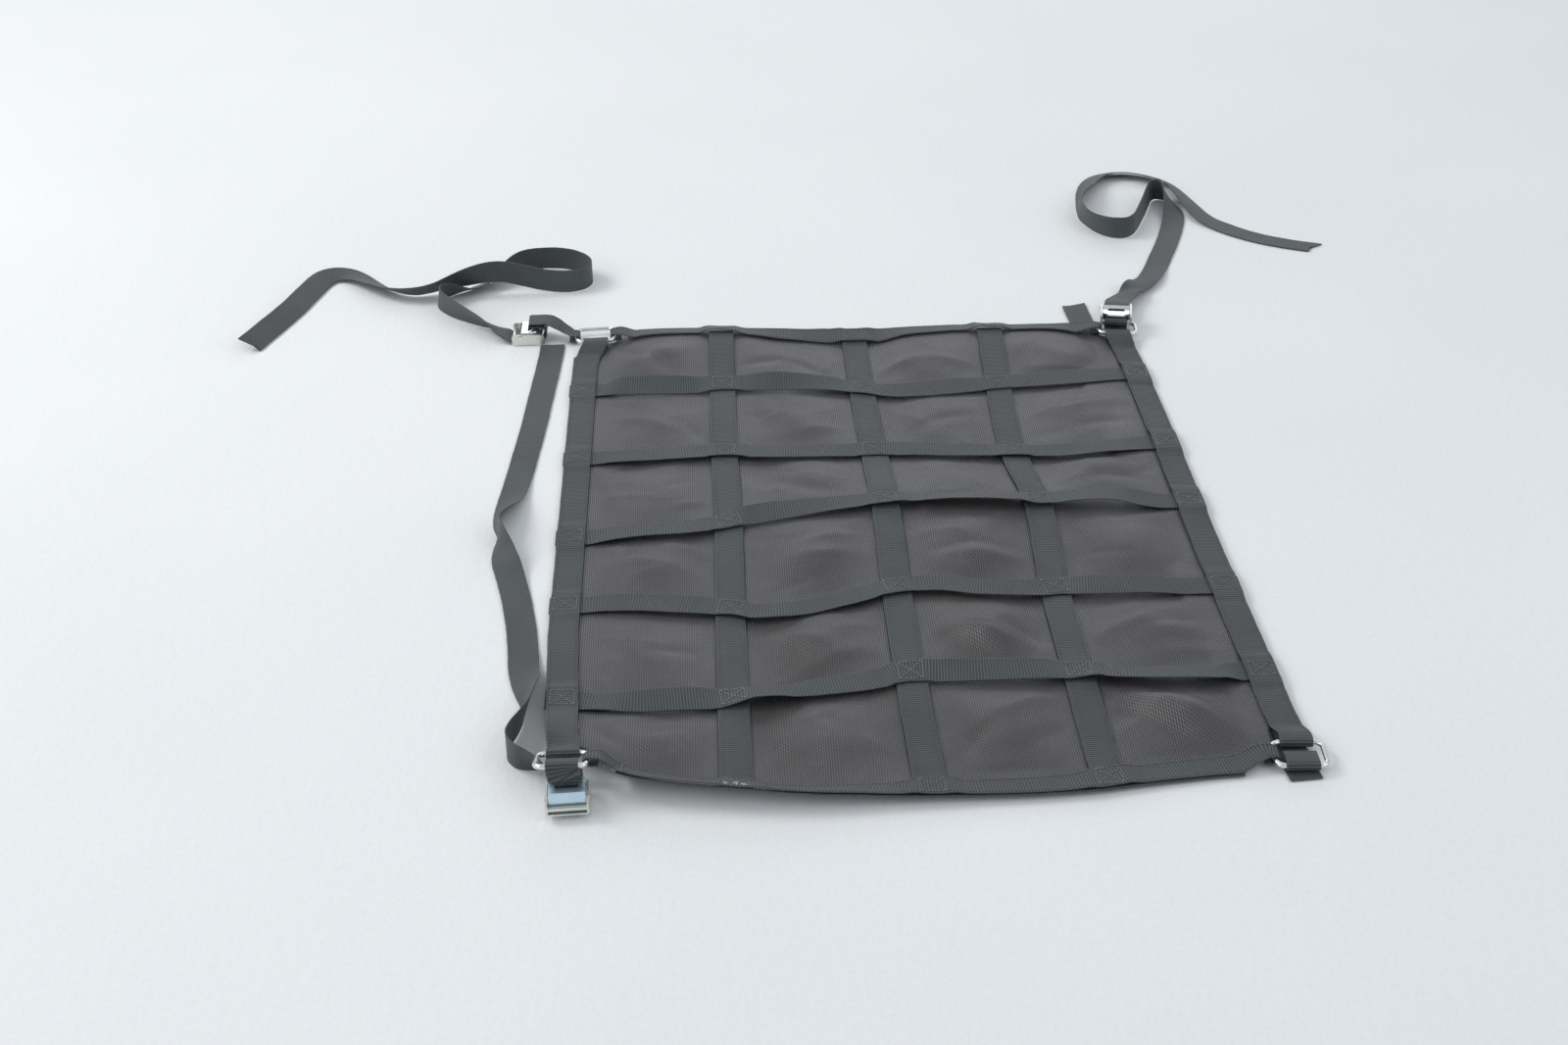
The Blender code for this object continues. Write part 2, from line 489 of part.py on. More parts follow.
def lay_strap(rows):
    """Rows of x, y, z, bank of a loose strap, to place, side vector and width."""
    fine = smooth_through([(x, y, z, math.radians(b)) for x, y, z, b in rows], FINE)
    t = tangents(fine[:, :3])
    run = t[:, :2] / np.linalg.norm(t[:, :2], axis=1)[:, None]
    left = np.column_stack([-run[:, 1], run[:, 0], np.zeros(len(run))])
    left = square_to(left, t)
    up = np.cross(t, left)
    b = fine[:, 3:4]
    side = left * np.cos(b) + up * np.sin(b)
    face = np.cross(t, side)
    lowest = WEB_W / 2 * np.abs(side[:, 2]) + WEB_T / 2 * np.abs(face[:, 2]) + 0.3
    fine[:, 2] = np.maximum(fine[:, 2], lowest)
    return rows7(fine[:, :3], side)


def mesh_of(curve_obj):
    """The closed mesh of a curve, its caps welded, in the curve's place."""
    graph = bpy.context.evaluated_depsgraph_get()
    graph.update()
    mesh = bpy.data.meshes.new_from_object(curve_obj.evaluated_get(graph))
    shape = bmesh.new()
    shape.from_mesh(mesh)
    bmesh.ops.remove_doubles(shape, verts=shape.verts, dist=1e-5)
    shape.to_mesh(mesh)
    shape.free()
    return mesh


def outline(points, width, name, mat, collection, bore=None):
    """A side outline of (u, z) points, extruded across; bore is (u, z, radius)."""
    curve = bpy.data.curves.new(name, "CURVE")
    curve.dimensions = "2D"
    curve.fill_mode = "BOTH"
    curve.extrude = width / 2 * MM
    loops = [points]
    if bore:
        u, z, r = bore
        loops.append([(u + r * math.cos(2 * math.pi * k / 20), z + r * math.sin(2 * math.pi * k / 20)) for k in range(20)])
    for loop in loops:
        spline = curve.splines.new("POLY")
        spline.points.add(len(loop) - 1)
        for point, (u, z) in zip(spline.points, loop):
            point.co = (u * MM, z * MM, 0, 1)
        spline.use_cyclic_u = True
    obj = place(bpy.data.objects.new(name + "_outline", curve), collection)
    mesh = mesh_of(obj)
    bpy.data.objects.remove(obj)
    made = place(bpy.data.objects.new(name, mesh), collection)
    # the outline's plane stands up: its x is along the buckle, its y is up
    mesh.transform(Matrix.Rotation(math.radians(90), 4, "X"))
    mesh.materials.clear()
    mesh.materials.append(mat)
    return made


def apply_all(obj):
    graph = bpy.context.evaluated_depsgraph_get()
    graph.update()
    mesh = bpy.data.meshes.new_from_object(obj.evaluated_get(graph))
    obj.modifiers.clear()
    obj.data = mesh
    return obj


def rounded_ring(name, collection, mat):
    """A closed wire with rounded corners."""
    x, y, z, turn, rise = RINGS[name]
    long, short = (RING_L - WIRE_D) / 2, (RING_S - WIRE_D) / 2
    points = []
    for cx, cy, start in ((1, 1, 0), (-1, 1, 90), (-1, -1, 180), (1, -1, 270)):
        for k in range(5):
            a = math.radians(start + 22.5 * k)
            points.append((cx * (long - RING_R) + RING_R * math.cos(a), cy * (short - RING_R) + RING_R * math.sin(a)))
    curve = bpy.data.curves.new(name, "CURVE")
    curve.dimensions = "3D"
    curve.bevel_depth = WIRE_D / 2 * MM
    curve.bevel_resolution = 2
    spline = curve.splines.new("POLY")
    spline.points.add(len(points) - 1)
    for point, (u, v) in zip(spline.points, points):
        point.co = (u * MM, v * MM, 0, 1)
    spline.use_cyclic_u = True
    curve.materials.append(mat)
    obj = place(bpy.data.objects.new(name, curve), collection)
    turned = Matrix.Rotation(math.radians(turn), 4, "Z") @ Matrix.Rotation(math.radians(-rise), 4, "X")
    obj.matrix_world = Matrix.Translation(Vector((x, y, z)) * MM) @ turned
    return obj


def box(name, size, centre, collection):
    shape = bmesh.new()
    bmesh.ops.create_cube(shape, size=1.0)
    bmesh.ops.scale(shape, vec=Vector(size) * MM, verts=shape.verts)
    bmesh.ops.translate(shape, vec=Vector(centre) * MM, verts=shape.verts)
    mesh = bpy.data.meshes.new(name)
    shape.to_mesh(mesh)
    shape.free()
    return place(bpy.data.objects.new(name, mesh), collection)


def rod(name, radius, length, centre, collection, sides=20):
    """A round rod across the buckle (along its Y)."""
    shape = bmesh.new()
    bmesh.ops.create_cone(shape, cap_ends=True, segments=sides, radius1=radius * MM, radius2=radius * MM, depth=length * MM)
    bmesh.ops.rotate(shape, verts=shape.verts, cent=(0, 0, 0), matrix=Matrix.Rotation(math.radians(90), 3, "X"))
    bmesh.ops.translate(shape, vec=Vector(centre) * MM, verts=shape.verts)
    mesh = bpy.data.meshes.new(name)
    shape.to_mesh(mesh)
    shape.free()
    return place(bpy.data.objects.new(name, mesh), collection)


def cut(obj, tool, operation="DIFFERENCE"):
    tool.hide_render = True
    tool.display_type = "WIRE"
    step = obj.modifiers.new(tool.name, "BOOLEAN")
    step.operation = operation
    step.solver = "EXACT"
    step.object = tool


def buckle_parts(name, parts, tools, steel, bright):
    """Body, cam lever and pin of one buckle, in its own axes: x along the strap, y across, z up."""
    x, y, z, heading = BUCKLES[name]
    seat = bpy.data.objects.new(name + "_seat", None)
    parts.objects.link(seat)
    seat.location = Vector((x, y, z)) * MM
    seat.rotation_euler = (0, 0, math.radians(heading))
    inner = BUCKLE_W - 2 * BUCKLE_T
    ear = [(1.4, 0), (0, 1.6), (0, 10.0), (1.6, 11.2), (8, EAR_H), (29.5, EAR_H), (BUCKLE_L - 0.8, 10.9),
           (BUCKLE_L, 9.4), (BUCKLE_L, 1.2), (BUCKLE_L - 1.2, 0)]
    body = outline(ear, BUCKLE_T, name, steel, parts)
    body.data.transform(Matrix.Translation((0, (BUCKLE_W - BUCKLE_T) / 2 * MM, 0)))
    other = outline(ear, BUCKLE_T, name + "_ear", steel, tools)
    other.data.transform(Matrix.Translation((0, -(BUCKLE_W - BUCKLE_T) / 2 * MM, 0)))
    base_l = BUCKLE_L - 9.4
    base = box(name + "_base", (base_l, inner + 1.0, BUCKLE_T - 0.1), (9.0 + base_l / 2, 0, BUCKLE_T / 2 + 0.05), tools)
    guide = box(name + "_guide", (2.4, inner + 1.0, 2.6), (31.8, 0, 5.5), tools)
    bar = rod(name + "_bar", BAR_R, inner + 1.0, (BAR_U, 0, BAR_Z), tools)
    for piece in (other, base, bar, guide):
        cut(body, piece, "UNION")
    bore = rod(name + "_bore", PIN_R + BORE, BUCKLE_W + 4, (PIN_U, 0, PIN_Z), tools, 24)
    cut(body, bore)
    apply_all(body)
    body.data.materials.clear()
    body.data.materials.append(steel)
    pin = rod(name + "_pin", PIN_R, BUCKLE_W + 1.6, (PIN_U, 0, PIN_Z), parts, 24)
    pin.data.materials.append(bright)
    # cam with the thumb plate, about the pin: u, z from the pin's middle
    cam = []
    for k in range(13):
        a = math.radians(-175 + 15 * k * 0.98)
        grip = 1.0 - 0.16 * (1 - math.cos(a - math.radians(-72)))
        r = 5.2 * grip + (0.28 if k % 2 and -140 < math.degrees(a) < -40 else 0.0)
        cam.append((r * math.cos(a), r * math.sin(a)))
    rise = math.radians(LEVER_RISE[name])
    ux, uz = -math.cos(rise), math.sin(rise)
    nx, nz = math.sin(rise), math.cos(rise)
    far = LEVER_L
    top_plate = [(far, 3.3), (far - 1.0, 4.2), (far * 0.7, 3.6), (far * 0.42, 3.3), (1.5, 4.3)]
    low_plate = [(4.6, -1.0), (far * 0.42, 1.2), (far * 0.7, 1.6), (far - 1.4, 2.0), (far, 2.5)]
    lever = cam + [(d * ux + h * nx, d * uz + h * nz) for d, h in reversed(top_plate)]
    lever += [(d * ux + h * nx, d * uz + h * nz) for d, h in reversed(low_plate)]
    handle = outline(lever, LEVER_W, name + "_lever", bright, parts, bore=(0, 0, PIN_R + BORE))
    # thumb plate: a slot behind the cam and rounded corners at the tip
    slot = box(name + "_slot", (4.2, LEVER_W * 0.62, 14.0), (-9.4, 0, 3.0), tools)
    cut(handle, slot)
    trims = []
    for side in (1, -1):
        trim = box(name + "_trim", (9.0, 9.0, 30.0), (0, 0, 0), tools)
        trim.matrix_world = (Matrix.Translation(Vector((-LEVER_L - 0.4, side * (LEVER_W / 2 + 0.4), 0)) * MM)
                             @ Matrix.Rotation(math.radians(45 + 14 * side), 4, "Z"))
        trims.append(trim)
        cut(handle, trim)
    bpy.context.view_layer.update()
    apply_all(handle)
    handle.data.materials.clear()
    handle.data.materials.append(bright)
    for piece in (slot, *trims):
        bpy.data.objects.remove(piece)
    handle.location = (PIN_U * MM, 0, PIN_Z * MM)
    for piece in (body, pin, handle):
        piece.parent = seat
    for piece in (other, base, bar, guide, bore):
        bpy.data.objects.remove(piece)
    return seat


def sheet_panel(collection, mat):
    """The coated mesh: a grid on the net's plan, cut back round the rings, with thickness."""
    xs = []
    for c, x in enumerate(LINE_X[1:4]):
        xs += [x - WEB_W / 2, x + WEB_W / 2]
    shape = bmesh.new()
    # column stations as fractions between the outer edges
    stops = [0.0, WEB_W / 577.0]
    for a, b in ((0.0433, 0.2405), (0.2838, 0.4815), (0.5248, 0.7155), (0.7588, 0.9567)):
        stops += list(np.linspace(a, b, 5)[1:]) if a < 0.05 else list(np.linspace(a, b, 5))
    stops.append(1.0)
    columns = []
    for f in stops:
        column = []
        x_mid = -289.0 + f * 577.0
        ys, _ = row_lines(x_mid)
        ys = ys[:, 0]
        levels = [ys[0], ys[1]]
        for k in range(1, 7):
            half = 12.0 if 2 <= k else 0.0
            a, b = ys[k] - half, ys[k + 1] + (12.0 if k <= 5 else 0.0)
            levels += list(np.linspace(a, b, 4))[0 if 2 <= k else 1 :]
        levels.append(ys[8])
        for y in levels:
            left = along(LEFT_EDGE, y)[0, 0]
            right = along(RIGHT_EDGE, y)[0, 0]
            x = left + f * (right - left)
            column.append((x, y))
        columns.append(column)
    rows = len(columns[0])
    verts = {}

    def corner(c, r):
        if (c, r) not in verts:
            x, y = columns[c][r]
            verts[c, r] = shape.verts.new(Vector((x, y, float(sheet_height(x, y)[0]))) * MM)
        return verts[c, r]

    last_c, last_r = len(columns) - 1, rows - 1
    for c in range(last_c):
        for r in range(last_r):
            side_band = c == 0 or c == last_c - 1
            end_band = r == 0 or r == last_r - 1
            near_side = c <= 1 or c >= last_c - 2
            near_end = r <= 1 or r >= last_r - 2
            if (side_band and near_end) or (end_band and near_side):
                continue  # the rings sit in the corners
            shape.faces.new([corner(c, r + 1), corner(c + 1, r + 1), corner(c + 1, r), corner(c, r)])
    mesh = bpy.data.meshes.new("mesh_panel")
    shape.to_mesh(mesh)
    shape.free()
    return sheet_object("mesh_panel", mesh, MESH_T, 1.0, mat, collection)


def edge_run(table, y, inset):
    """Middle of a side border at y, `inset` from the outer edge."""
    return along(table, y)[:, 0] + inset


def build():
    for obj in list(bpy.data.objects):
        bpy.data.objects.remove(obj)
    parts = bpy.data.collections.new("cargo_net")
    tools = bpy.data.collections.new("cutters")
    bpy.context.scene.collection.children.link(parts)
    bpy.context.scene.collection.children.link(tools)
    web = material("webbing_grey", (0.075, 0.085, 0.09), 0.75, 0.0)
    coated = material("coated_mesh", (0.10, 0.092, 0.092), 0.6, 0.0)
    steel = material("zinc_steel", (0.62, 0.62, 0.58), 0.35, 1.0)
    bright = material("bright_steel", (0.72, 0.74, 0.76), 0.22, 1.0)

    sheet_panel(parts, coated)

    # long webbings on the sheet
    tops = [sheet_top]
    for name, table in LONG_WEBS.items():
        x_near, x_far = table[-1][1], table[0][1]
        y0 = along(NEAR_EDGE, x_near)[0, 0] + WEB_W * 0.62
        y1 = along(FAR_EDGE, x_far)[0, 0] - WEB_W * 0.64
        y = np.linspace(y0, y1, int((y1 - y0) / FINE))
        centre = np.column_stack([along(table, y)[:, 0], y])
        side = np.tile([-1.0, 0.0], (len(y), 1))
        p, s = laid(centre, side, [sheet_top], clear=GAP + 0.25, reach=2.0)
        tops.append(strip_top(p, s, 1))
        webbing(name, rows7(p, s)[::2], web, parts)

    # cross webbings over them
    ends = []
    for name, table in CROSS_WEBS.items():
        rows = [(COL0 + COL_PITCH * u, y, z, b) for u, y, z, b in table]
        x0 = along(LEFT_EDGE, rows[0][1])[0, 0] - 1.2
        x1 = along(RIGHT_EDGE, rows[-1][1])[0, 0] + 1.2
        rows = [(x0, rows[0][1], 2.0, 0)] + rows + [(x1, rows[-1][1], 2.0, 0)]
        x = np.linspace(x0, x1, int((x1 - x0) / FINE))
        table_at = along(rows, x)
        centre = np.column_stack([x, table_at[:, 0]])
        side = np.tile([0.0, 1.0], (len(x), 1))
        under_border = np.minimum(np.clip((x - x0 - 30) / 14, 0, 1), np.clip((x1 - x - 30) / 14, 0, 1))
        p, s = laid(centre, side, tops, bank=table_at[:, 2] * under_border)
        free = table_at[:, 1] + (0 - p[:, 2]) * 0
        p[:, 2] = np.where(free > p[:, 2], p[:, 2] + (free - p[:, 2]) * under_border, p[:, 2])
        ends.append(strip_top(p, s, 0))
        webbing(name, rows7(p, s)[::2], web, parts)

    # far and near borders over the long webbings
    borders = {}
    for name, table, sign, left_ring, right_ring in (
        ("border_top", FAR_EDGE, -1, "ring_tl", "ring_tr"),
        ("border_bottom", NEAR_EDGE, 1, "ring_bl", "ring_br"),
    ):
        left_bar, right_bar = bar_of(left_ring, "right"), bar_of(right_ring, "left")
        x0, x1 = left_bar[0][0] + 10, right_bar[0][0] - 10
        x = np.linspace(x0, x1, int((x1 - x0) / FINE))
        edge = along(table, x)
        width_on_plan = np.sqrt(WEB_W**2 - (edge[:, 2] - edge[:, 1]) ** 2)
        y = edge[:, 0] + sign * (width_on_plan / 2)
        # the ends turn towards the middle of the ring's bar
        pull_l = np.clip((x0 + 32 - x) / 32, 0, 1) ** 2
        pull_r = np.clip((x - x1 + 32) / 32, 0, 1) ** 2
        y = y * (1 - pull_l) + left_bar[0][1] * pull_l
        y = y * (1 - pull_r) + right_bar[0][1] * pull_r
        centre = np.column_stack([x, y])
        side = np.tile([0.0, 1.0], (len(x), 1))
        p, s = laid(centre, side, tops, clear=GAP + 0.3, reach=3.2, soft=2)
        borders[name] = strip_top(p, s, 0)
        webbing(name, between_bars(p, s, left_bar, right_bar, 1, width=15.5), web, parts)

    # side borders over the ends of the cross webbings
    for name, table, inset, far_ring, near_ring in (
        ("border_left", LEFT_EDGE, WEB_W / 2, "ring_tl", "ring_bl"),
        ("border_right", RIGHT_EDGE, -WEB_W / 2, "ring_tr", "ring_br"),
    ):
        far_bar, near_bar = bar_of(far_ring, "near"), bar_of(near_ring, "far")
        y0, y1 = near_bar[0][1] + 6, far_bar[0][1] - 6
        y = np.linspace(y0, y1, int((y1 - y0) / FINE))
        x = edge_run(table, y, inset)
        pull_n = np.clip((y0 + 50 - y) / 50, 0, 1) ** 2
        pull_f = np.clip((y - y1 + 50) / 50, 0, 1) ** 2
        x = x * (1 - pull_n) + near_bar[0][0] * pull_n
        x = x * (1 - pull_f) + far_bar[0][0] * pull_f
        centre = np.column_stack([x, y])
        side = np.tile([-1.0, 0.0], (len(y), 1))
        p, s = laid(centre, side, [sheet_top] + ends, clear=GAP + 0.3)
        p[:, 2] += 1.6 * pull_f
        tails = (4.0, 8.0) if name == "border_left" else (8.0, 8.0)
        webbing(name, between_bars(p, s, near_bar, far_bar, -1, tails), web, parts)

    for name in RINGS:
        rounded_ring(name, parts, bright)
    for name in BUCKLES:
        buckle_parts(name, parts, tools, steel, bright)

    # tabs: round the ring's bar, then round the buckle's bar
    up = np.array([0.0, 0.0, 1.0])
    tabs(parts, web, up)

    for name, rows in (("strap_tl", STRAP_TL), ("strap_tr", STRAP_TR), ("strap_bl", STRAP_BL), ("strap_br", STRAP_BR)):
        webbing(name, lay_strap(rows)[::2], web, parts, allowed=0.16, slant=CUT_SLANT[name])

    # the table's coordinates start at the net's middle; the part's at its footprint's
    shift = Matrix.Translation(Vector((-ORIGIN_X, -ORIGIN_Y, 0)) * MM)
    bpy.context.view_layer.update()
    for obj in parts.objects:
        if obj.parent is None:
            obj.matrix_world = shift @ obj.matrix_world


def bar_in_buckle(name):
    x, y, z, heading = BUCKLES[name]
    a = math.radians(heading)
    along_u = np.array([math.cos(a), math.sin(a), 0.0])
    across = np.array([-math.sin(a), math.cos(a), 0.0])
    return np.array([x, y, z]) + along_u * BAR_U + up_z(BAR_Z), along_u, across


def up_z(h):
    return np.array([0.0, 0.0, h])


def slack_over(bar, u, across, reach, width, wrap, drop_in=False):
    """Stations of slack webbing that lies on the thumb plate, folds back on itself and
    goes down round the buckle's bar. reach is how far past the bar the slack lies."""
    def at(du, dz):
        return bar + u * du + up_z(dz)

    upper, lower = 17.2, 13.4  # middles of the two layers above the bar's middle
    turn_r, turn_z = (upper - lower) / 2, (upper + lower) / 2
    out = [] if drop_in else [(at(-4.0, upper), across, width), (at(2.0, upper), across, width), (at(reach - 3.0, upper), across, width)]
    for a in (60, 90, 120, 150, 180) if drop_in else (0, 30, 60, 90, 120, 150, 180):
        a = math.radians(a)
        out.append((at(reach + turn_r * math.sin(a), turn_z + turn_r * math.cos(a)), across, width))
    out += [(at(reach - 4.0, lower), across, width), (at(0.5, lower), across, width)]
    out += [(at(-3.0, lower - 1.5), across, width), (at(-4.8, lower - 5.4), across, width), (at(-4.2, 3.0), across, width)]
    for a in np.radians(np.arange(285, 80, -22.5)):
        out.append((bar + wrap * (up_z(math.cos(a)) + u * math.sin(a)), across, width))
    return out


def tabs(parts, web, up):
    wrap = BAR_R + 0.4 + WEB_T / 2

    def rows_of(stations):
        return np.array([np.concatenate([p, s, [w]]) for p, s, w in stations])

    # far left: from the ring over the thumb plate, back, and round the buckle's bar
    c, across, out, ring_up = bar_of("ring_tl", "left")
    bar, u, side = bar_in_buckle("buckle_tl")
    stations = [(c + out * 8.0 - ring_up * WRAP_R, across, 15.5)]
    stations += [(p, s, 15.5) for p, s in round_bar(c, across, -out, ring_up, WRAP_R, 180, 0, 22.5)]
    stations += [
        (c + out * 4.0 + ring_up * (WRAP_R + 0.3), across, 15.5),
        (np.array([-298.5, 379.5, 12.2]), np.array([0.03, 0.98, 0.12]), 17.5),
        (np.array([-306.0, 381.6, 17.0]), np.array([0.02, 0.98, 0.16]), 20.5),
        (np.array([-313.0, 383.2, 20.4]), np.array([0.0, 0.99, 0.10]), 22.5),
    ]
    stations += slack_over(bar, u, -side, 11.0, 23.5, wrap)
    webbing("tab_tl", rows_of(stations), web, parts)

    # far right: short, from the ring's far bar under the buckle and up round its bar
    c, across, out, ring_up = bar_of("ring_tr", "far")
    bar, u, side = bar_in_buckle("buckle_tr")
    c = c - across * 1.0
    stations = [(c - out * 7.0 - ring_up * WRAP_R, across, 23.5)]
    stations += [(p, across, 23.5) for p, _ in round_bar(c, across, out, ring_up, WRAP_R, 180, 0, 22.5)]
    drop = bar[2] - (c[2] + WRAP_R)
    stations += [
        (bar + u * 8.4 - up * (drop + 0.15), -side, 23.5),
        (bar + u * 5.2 - up * (drop - 1.6), -side, 23.5),
    ]
    stations += [(p, -side, 23.5) for p, _ in round_bar(bar, side, u, up, wrap, 95, -140, 22.5)]
    webbing("tab_tr", rows_of(stations), web, parts)

    # near left: hangs from the raised near bar of the ring, slack over the thumb plate
    c, across, out, ring_up = bar_of("ring_bl", "near")
    bar, u, side = bar_in_buckle("buckle_bl")
    c = c + across * 0.9
    stations = [(c - out * 8.0 + ring_up * WRAP_R, across, 24.0), (c - out * 4.0 + ring_up * WRAP_R, across, 24.0)]
    stations += [(p, across, 24.0) for p, _ in round_bar(c, across, out, ring_up, WRAP_R, 0, 90, 22.5)]
    stations += [
        (np.array([-265.1, -399.7, 29.8]), np.array([1.0, 0.02, 0.03]), 24.0),
        (np.array([-264.4, -400.6, 27.4]), np.array([1.0, 0.03, 0.03]), 24.0),
    ]
    stations += slack_over(bar, u, side, 12.4, 23.5, wrap, drop_in=True)
    webbing("tab_bl", rows_of(stations), web, parts)

    # near right: a loop folded over the ring's near bar
    c, across, out, ring_up = bar_of("ring_br", "near")
    stations = [
        (c - out * 15.5 + ring_up * 1.6, across, 25.0),
        (c - out * 9.0 + ring_up * (WRAP_R - 0.4), across, 25.0),
        (c - out * 3.0 + ring_up * WRAP_R, across, 25.0),
    ]
    stations += [(p, across, 25.0) for p, _ in round_bar(c, across, out, ring_up, WRAP_R, 0, 180)]
    stations.append((c - out * 8.0 - ring_up * (WRAP_R - 0.1), across, 25.0))
    webbing("tab_br", rows_of(stations), web, parts)


build()
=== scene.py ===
"""Looks of the cargo net: woven webbing with ribs, coated mesh, plated rings and cam
buckles, stitching, camera, floor and light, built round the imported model.

Lengths in the tables are millimetres in the net's own table frame; ORIGIN_X and ORIGIN_Y
take them to the model's frame.
"""

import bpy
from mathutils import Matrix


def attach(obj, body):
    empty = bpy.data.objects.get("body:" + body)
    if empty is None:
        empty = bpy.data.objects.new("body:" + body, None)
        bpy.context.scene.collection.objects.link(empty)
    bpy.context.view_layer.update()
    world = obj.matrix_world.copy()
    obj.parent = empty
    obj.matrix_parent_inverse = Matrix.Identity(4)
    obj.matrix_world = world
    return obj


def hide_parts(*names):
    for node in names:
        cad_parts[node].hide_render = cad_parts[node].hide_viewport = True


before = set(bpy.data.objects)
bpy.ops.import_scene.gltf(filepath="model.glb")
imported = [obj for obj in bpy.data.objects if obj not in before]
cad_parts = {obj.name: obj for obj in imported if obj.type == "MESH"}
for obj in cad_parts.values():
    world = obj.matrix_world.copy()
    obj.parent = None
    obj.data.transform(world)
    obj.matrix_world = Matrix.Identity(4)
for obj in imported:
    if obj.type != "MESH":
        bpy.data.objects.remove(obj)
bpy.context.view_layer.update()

import math  # noqa: E402

import bmesh  # noqa: E402
import bpy  # noqa: E402
import numpy as np  # noqa: E402
from mathutils import Matrix, Vector  # noqa: E402

# ------------------------------------------------------------------ driving dimensions
MM = 0.001
ORIGIN_X = -25.5  # centre of the footprint without the pull straps, in table coordinates
ORIGIN_Y = -8.7
WEB_W = 25.0  # webbing width
WEB_T = 1.3  # webbing thickness
MESH_T = 1.0  # coated mesh sheet
GAP = 0.5  # between layers that lie on each other
WIRE_D = 4.2  # ring wire
RING_L, RING_S, RING_R = 42.0, 33.0, 6.0  # ring: long side, short side, corner radius
WRAP_R = WIRE_D / 2 + 0.4 + WEB_T / 2  # middle of webbing folded round ring wire
BUCKLE_L, BUCKLE_W, BUCKLE_T = 33.5, 31.5, 1.6  # cam buckle: length, width, sheet
EAR_H = 11.8
BAR_R, BAR_U, BAR_Z = 1.6, 2.6, 4.3  # tab bar: radius, from the end, height
PIN_R, PIN_U, PIN_Z = 1.75, 24.5, 9.0  # cam pin
BORE = 0.3  # running gap round the pin
LEVER_W, LEVER_L = 27.2, 21.0  # cam lever: width, pin to the tip of the thumb plate
LEVER_RISE = {"buckle_tl": 8.0, "buckle_tr": -7.0, "buckle_bl": 8.0}  # the thumb plate's angle as it lies
FINE = 3.0  # spacing of the worked-out stations

# ------------------------------------------------------------------ where the net lies
# columns: x of the sewn lines from left border to right border
LINE_X = (-276.0, -138.0, 1.0, 136.0, 280.0)
# rows under the cross webbings: y at each line, height of the sheet at each line
CROSS_ROWS = (
    ((258.3, 257.0, 239.8, 241.8, 251.6), (0.0, 1.5, 0.5, 0.5, 0.0)),
    ((119.2, 120.0, 113.7, 102.3, 108.4), (0.0, 1.5, 1.0, 0.5, 0.0)),
    ((-24.6, -9.8, 1.7, -5.7, -2.3), (0.0, 1.5, 12.0, 10.0, 0.5)),
    ((-133.7, -149.7, -132.2, -137.1, -142.5), (0.0, 0.5, 5.0, 2.0, 0.5)),
    ((-280.7, -278.9, -259.3, -262.3, -268.2), (7.0, 1.0, 5.0, 3.0, 0.5)),
)
# far edge: x, y of the edge, height of the sheet there, height one webbing width in
FAR_EDGE = (
    (-291, 384, 0, 0), (-262, 388, 0, 0.3), (-235, 391, 0.3, 2.3), (-215, 389.5, 1.2, 6.5),
    (-199, 388.5, 2.2, 8.3), (-138, 384.5, 2.8, 9), (-110, 382, 2.8, 7.5), (-79, 379.5, 2.6, 3), (-50, 377, 2, 0.5),
    (-20, 370, 4.5, 0), (15, 369, 4, 0), (50, 376, 1, 4), (92, 376.5, 1.2, 6.5),
    (136, 371.5, 2.2, 8.6), (200, 369.8, 2.0, 8.4), (222, 369.5, 1.0, 5), (241, 369, 0, 1),
    (262, 361, 0, 0.3), (293, 352, 0, 0),
)
# near edge: the same columns
NEAR_EDGE = (
    (-291, -371, 25, 23.5), (-268, -375, 24.5, 22), (-252, -382, 23.5, 17),
    (-236, -389, 22.2, 11.5), (-214, -396.5, 20.5, 6.5), (-190, -401.5, 19, 3.6), (-138, -409.5, 17, 1.6),
    (-100, -415, 15, 0.8), (-65, -416.5, 12.8, 0.6), (-30, -416.5, 10, 0.8), (0, -416, 8, 0.6), (53, -416, 6, 0),
    (120, -413, 5, 0), (152, -408, 4, 0), (216, -400, 2.5, 0), (243, -398, 2, 0.5),
    (261, -392, 2, 2), (293, -387, 2, 2),
)
# outer edge of the side borders: y, x
LEFT_EDGE = ((400, -290), (371, -289), (-164, -289), (-226, -287), (-300, -283.5), (-345, -282), (-420, -282))
RIGHT_EDGE = ((400, 281), (360, 283), (294, 285), (147, 287.5), (-92, 288), (-208, 290), (-361, 292), (-420, 292))
# slack of the sheet in each bay, far row first, left bay first
BAY_RISE = (
    (6, 4, 5, 6),
    (5, 7, 5, 6),
    (5, 6, 4, 5),
    (7, 9, 9, 8),
    (6, 8, 8, 7),
    (8, 7, 6, 8),
)
# long soft creases in the sheet: from x, y to x, y, height, half width
CREASES = (
    (150, -283, 262, -372, 5.0, 15.0),
    (20, -180, 118, -250, 4.0, 13.0),
    (-118, 60, -20, 20, -3.5, 12.0),
    (-250, 300, -160, 340, 3.5, 13.0),
    (160, 50, 250, 80, 3.5, 14.0),
    (-120, -180, -40, -235, 4.0, 14.0),
    (160, -190, 255, -215, 3.0, 14.0),
    (-245, -330, -165, -300, -4.0, 13.0),
)
# webbings on the sheet: rows of y, x
LONG_WEBS = {
    "strap_v1": ((400, -137.5), (269, -138), (131, -139), (12, -137.5), (-215, -139), (-420, -139)),
    "strap_v2": ((400, -1), (265, -1), (89, 1.5), (-47, 2.5), (-162, 1), (-296, 2), (-420, 5)),
    "strap_v3": ((400, 140), (278, 136), (140, 131), (74, 132.5), (-14, 138), (-164, 134), (-420, 136)),
}
